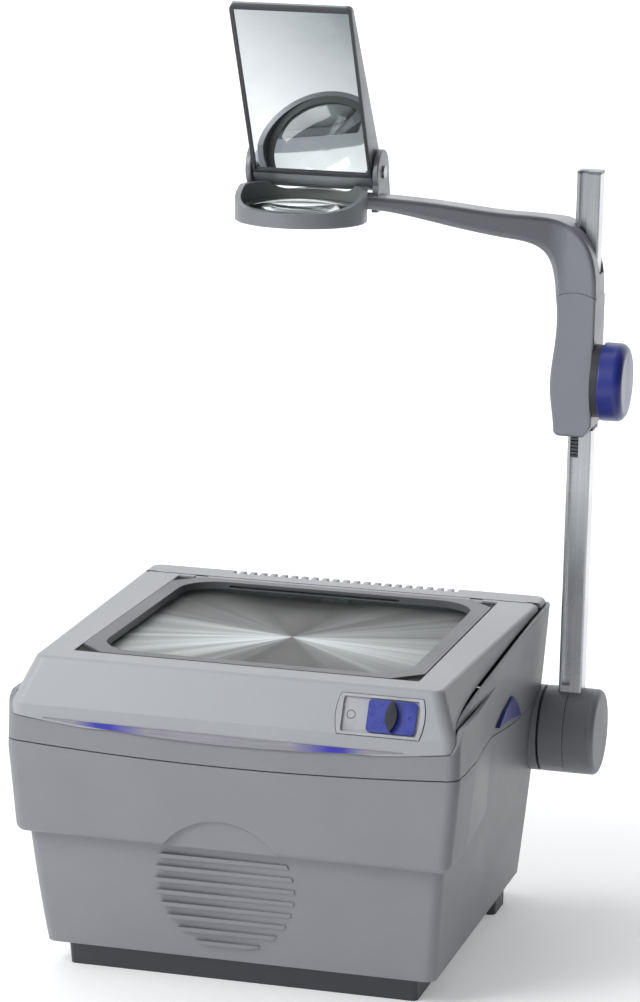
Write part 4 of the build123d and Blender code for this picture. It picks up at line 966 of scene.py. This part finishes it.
def place_flag():
    """Black cloth flag on the right, unseen by the camera, which keeps bounced light off that side."""
    material, tree, output = new_surface("black_cloth")
    weave = cloud(tree, 2 * MM, 2.0)
    shader = add_node(tree, "ShaderNodeBsdfPrincipled", {
        "Base Color": blended(tree, weave, linear("#080808"), linear("#141414")), "Roughness": 0.95})
    close_surface(tree, output, shader)
    shape = bmesh.new()
    corners = ((0.62, -0.6, 0.004), (0.66, 0.5, 0.004), (0.66, 0.5, 0.6), (0.62, -0.6, 0.6))
    shape.faces.new([shape.verts.new(corner) for corner in corners])
    mesh = bpy.data.meshes.new("flag")
    shape.to_mesh(mesh)
    shape.free()
    mesh.materials.append(material)
    flag = bpy.data.objects.new("flag", mesh)
    flag.visible_camera = False
    flag.visible_glossy = False
    bpy.context.scene.collection.objects.link(flag)


class PROJECTOR_OT_stage(bpy.types.Operator):
    """Set up the floor, the lights and the camera"""

    bl_idname = "projector.stage"
    bl_label = "Studio"
    bl_options = {"REGISTER", "UNDO"}

    def execute(self, context):
        studio = context.scene.projector_studio
        material, tree, output = new_surface("matt_paper")
        fibre = cloud(tree, 4 * MM, 2.0)
        paper = linear(studio.floor_colour)
        shader = add_node(tree, "ShaderNodeBsdfPrincipled", {
            "Base Color": blended(tree, span(tree, fibre, 0.3, 0.7, 0.0, 1.0), scaled(paper, 0.985), paper),
            "Roughness": 0.8, "Emission Color": paper, "Emission Strength": 0.25,
        })
        close_surface(tree, output, shader)
        floor = bpy.data.objects.new("floor", sweep_backdrop())
        floor.data.materials.append(material)
        context.scene.collection.objects.link(floor)

        world = bpy.data.worlds.new("studio_air")
        world.use_nodes = True
        background = world.node_tree.nodes["Background"]
        air = world.node_tree
        aim = add_node(air, "ShaderNodeSeparateXYZ", {
            "Vector": add_node(air, "ShaderNodeTexCoord").outputs["Object"]})
        side = span(air, aim.outputs["X"], -0.6, 0.9, 0.75, 0.06)
        air.links.new(side, background.inputs["Strength"])
        background.inputs["Color"].default_value = linear("#F6F8FB")
        context.scene.world = world

        target = (0.0, 0.0, 0.3)
        area_light("key", (-1.1, -1.5, 1.6), target, 1.0, studio.key_power)
        area_light("fill", (2.6, -0.6, 1.2), target, 1.8, studio.fill_power)
        area_light("top", (-0.7, 0.5, 2.6), (0.0, 0.0, 0.2), 1.4, studio.key_power * 0.5)
        area_light("backdrop", (0.0, 1.6, 3.2), (0.0, 5.0, 1.6), 2.4, studio.key_power * 4.0)
        place_flag()

        data = bpy.data.cameras.new("camera")
        data.sensor_fit = "AUTO"
        data.sensor_width = 36.0
        data.lens = studio.lens
        data.clip_start = 0.05
        data.clip_end = 60.0
        camera = bpy.data.objects.new("camera", data)
        camera.matrix_world = Matrix.Translation(CAMERA_PLACE) @ camera_turn().to_4x4()
        context.scene.collection.objects.link(camera)
        context.scene.camera = camera
        context.scene.view_settings.view_transform = "Standard"
        return {"FINISHED"}


class PROJECTOR_PT_panel(bpy.types.Panel):
    """Lists the steps that build the projector's looks"""

    bl_idname = "PROJECTOR_PT_panel"
    bl_label = "Overhead projector"
    bl_space_type = "VIEW_3D"
    bl_region_type = "UI"
    bl_category = "Projector"

    def draw(self, context):
        layout = self.layout
        for name, group in GROUPS:
            box = layout.box()
            settings = getattr(context.scene, name)
            for key in group.__annotations__:
                box.prop(settings, key)
        for operator in OPERATORS:
            layout.operator(operator.bl_idname)


OPERATORS = (
    PROJECTOR_OT_housing,
    PROJECTOR_OT_lid,
    PROJECTOR_OT_controls,
    PROJECTOR_OT_light_engine,
    PROJECTOR_OT_post,
    PROJECTOR_OT_carriage,
    PROJECTOR_OT_head,
    PROJECTOR_OT_base_screws,
    PROJECTOR_OT_fan_guard,
    PROJECTOR_OT_switch_mark,
    PROJECTOR_OT_stage,
)


def register():
    for name, group in GROUPS:
        bpy.utils.register_class(group)
        setattr(bpy.types.Scene, name, bpy.props.PointerProperty(type=group))
    for operator in OPERATORS:
        bpy.utils.register_class(operator)
    bpy.utils.register_class(PROJECTOR_PT_panel)


def unregister():
    bpy.utils.unregister_class(PROJECTOR_PT_panel)
    for operator in reversed(OPERATORS):
        bpy.utils.unregister_class(operator)
    for name, group in reversed(GROUPS):
        delattr(bpy.types.Scene, name)
        bpy.utils.unregister_class(group)


def main():
    register()
    for operator in OPERATORS:
        group, name = operator.bl_idname.split(".")
        getattr(getattr(bpy.ops, group), name)()


if __name__ == "__main__":
    main()
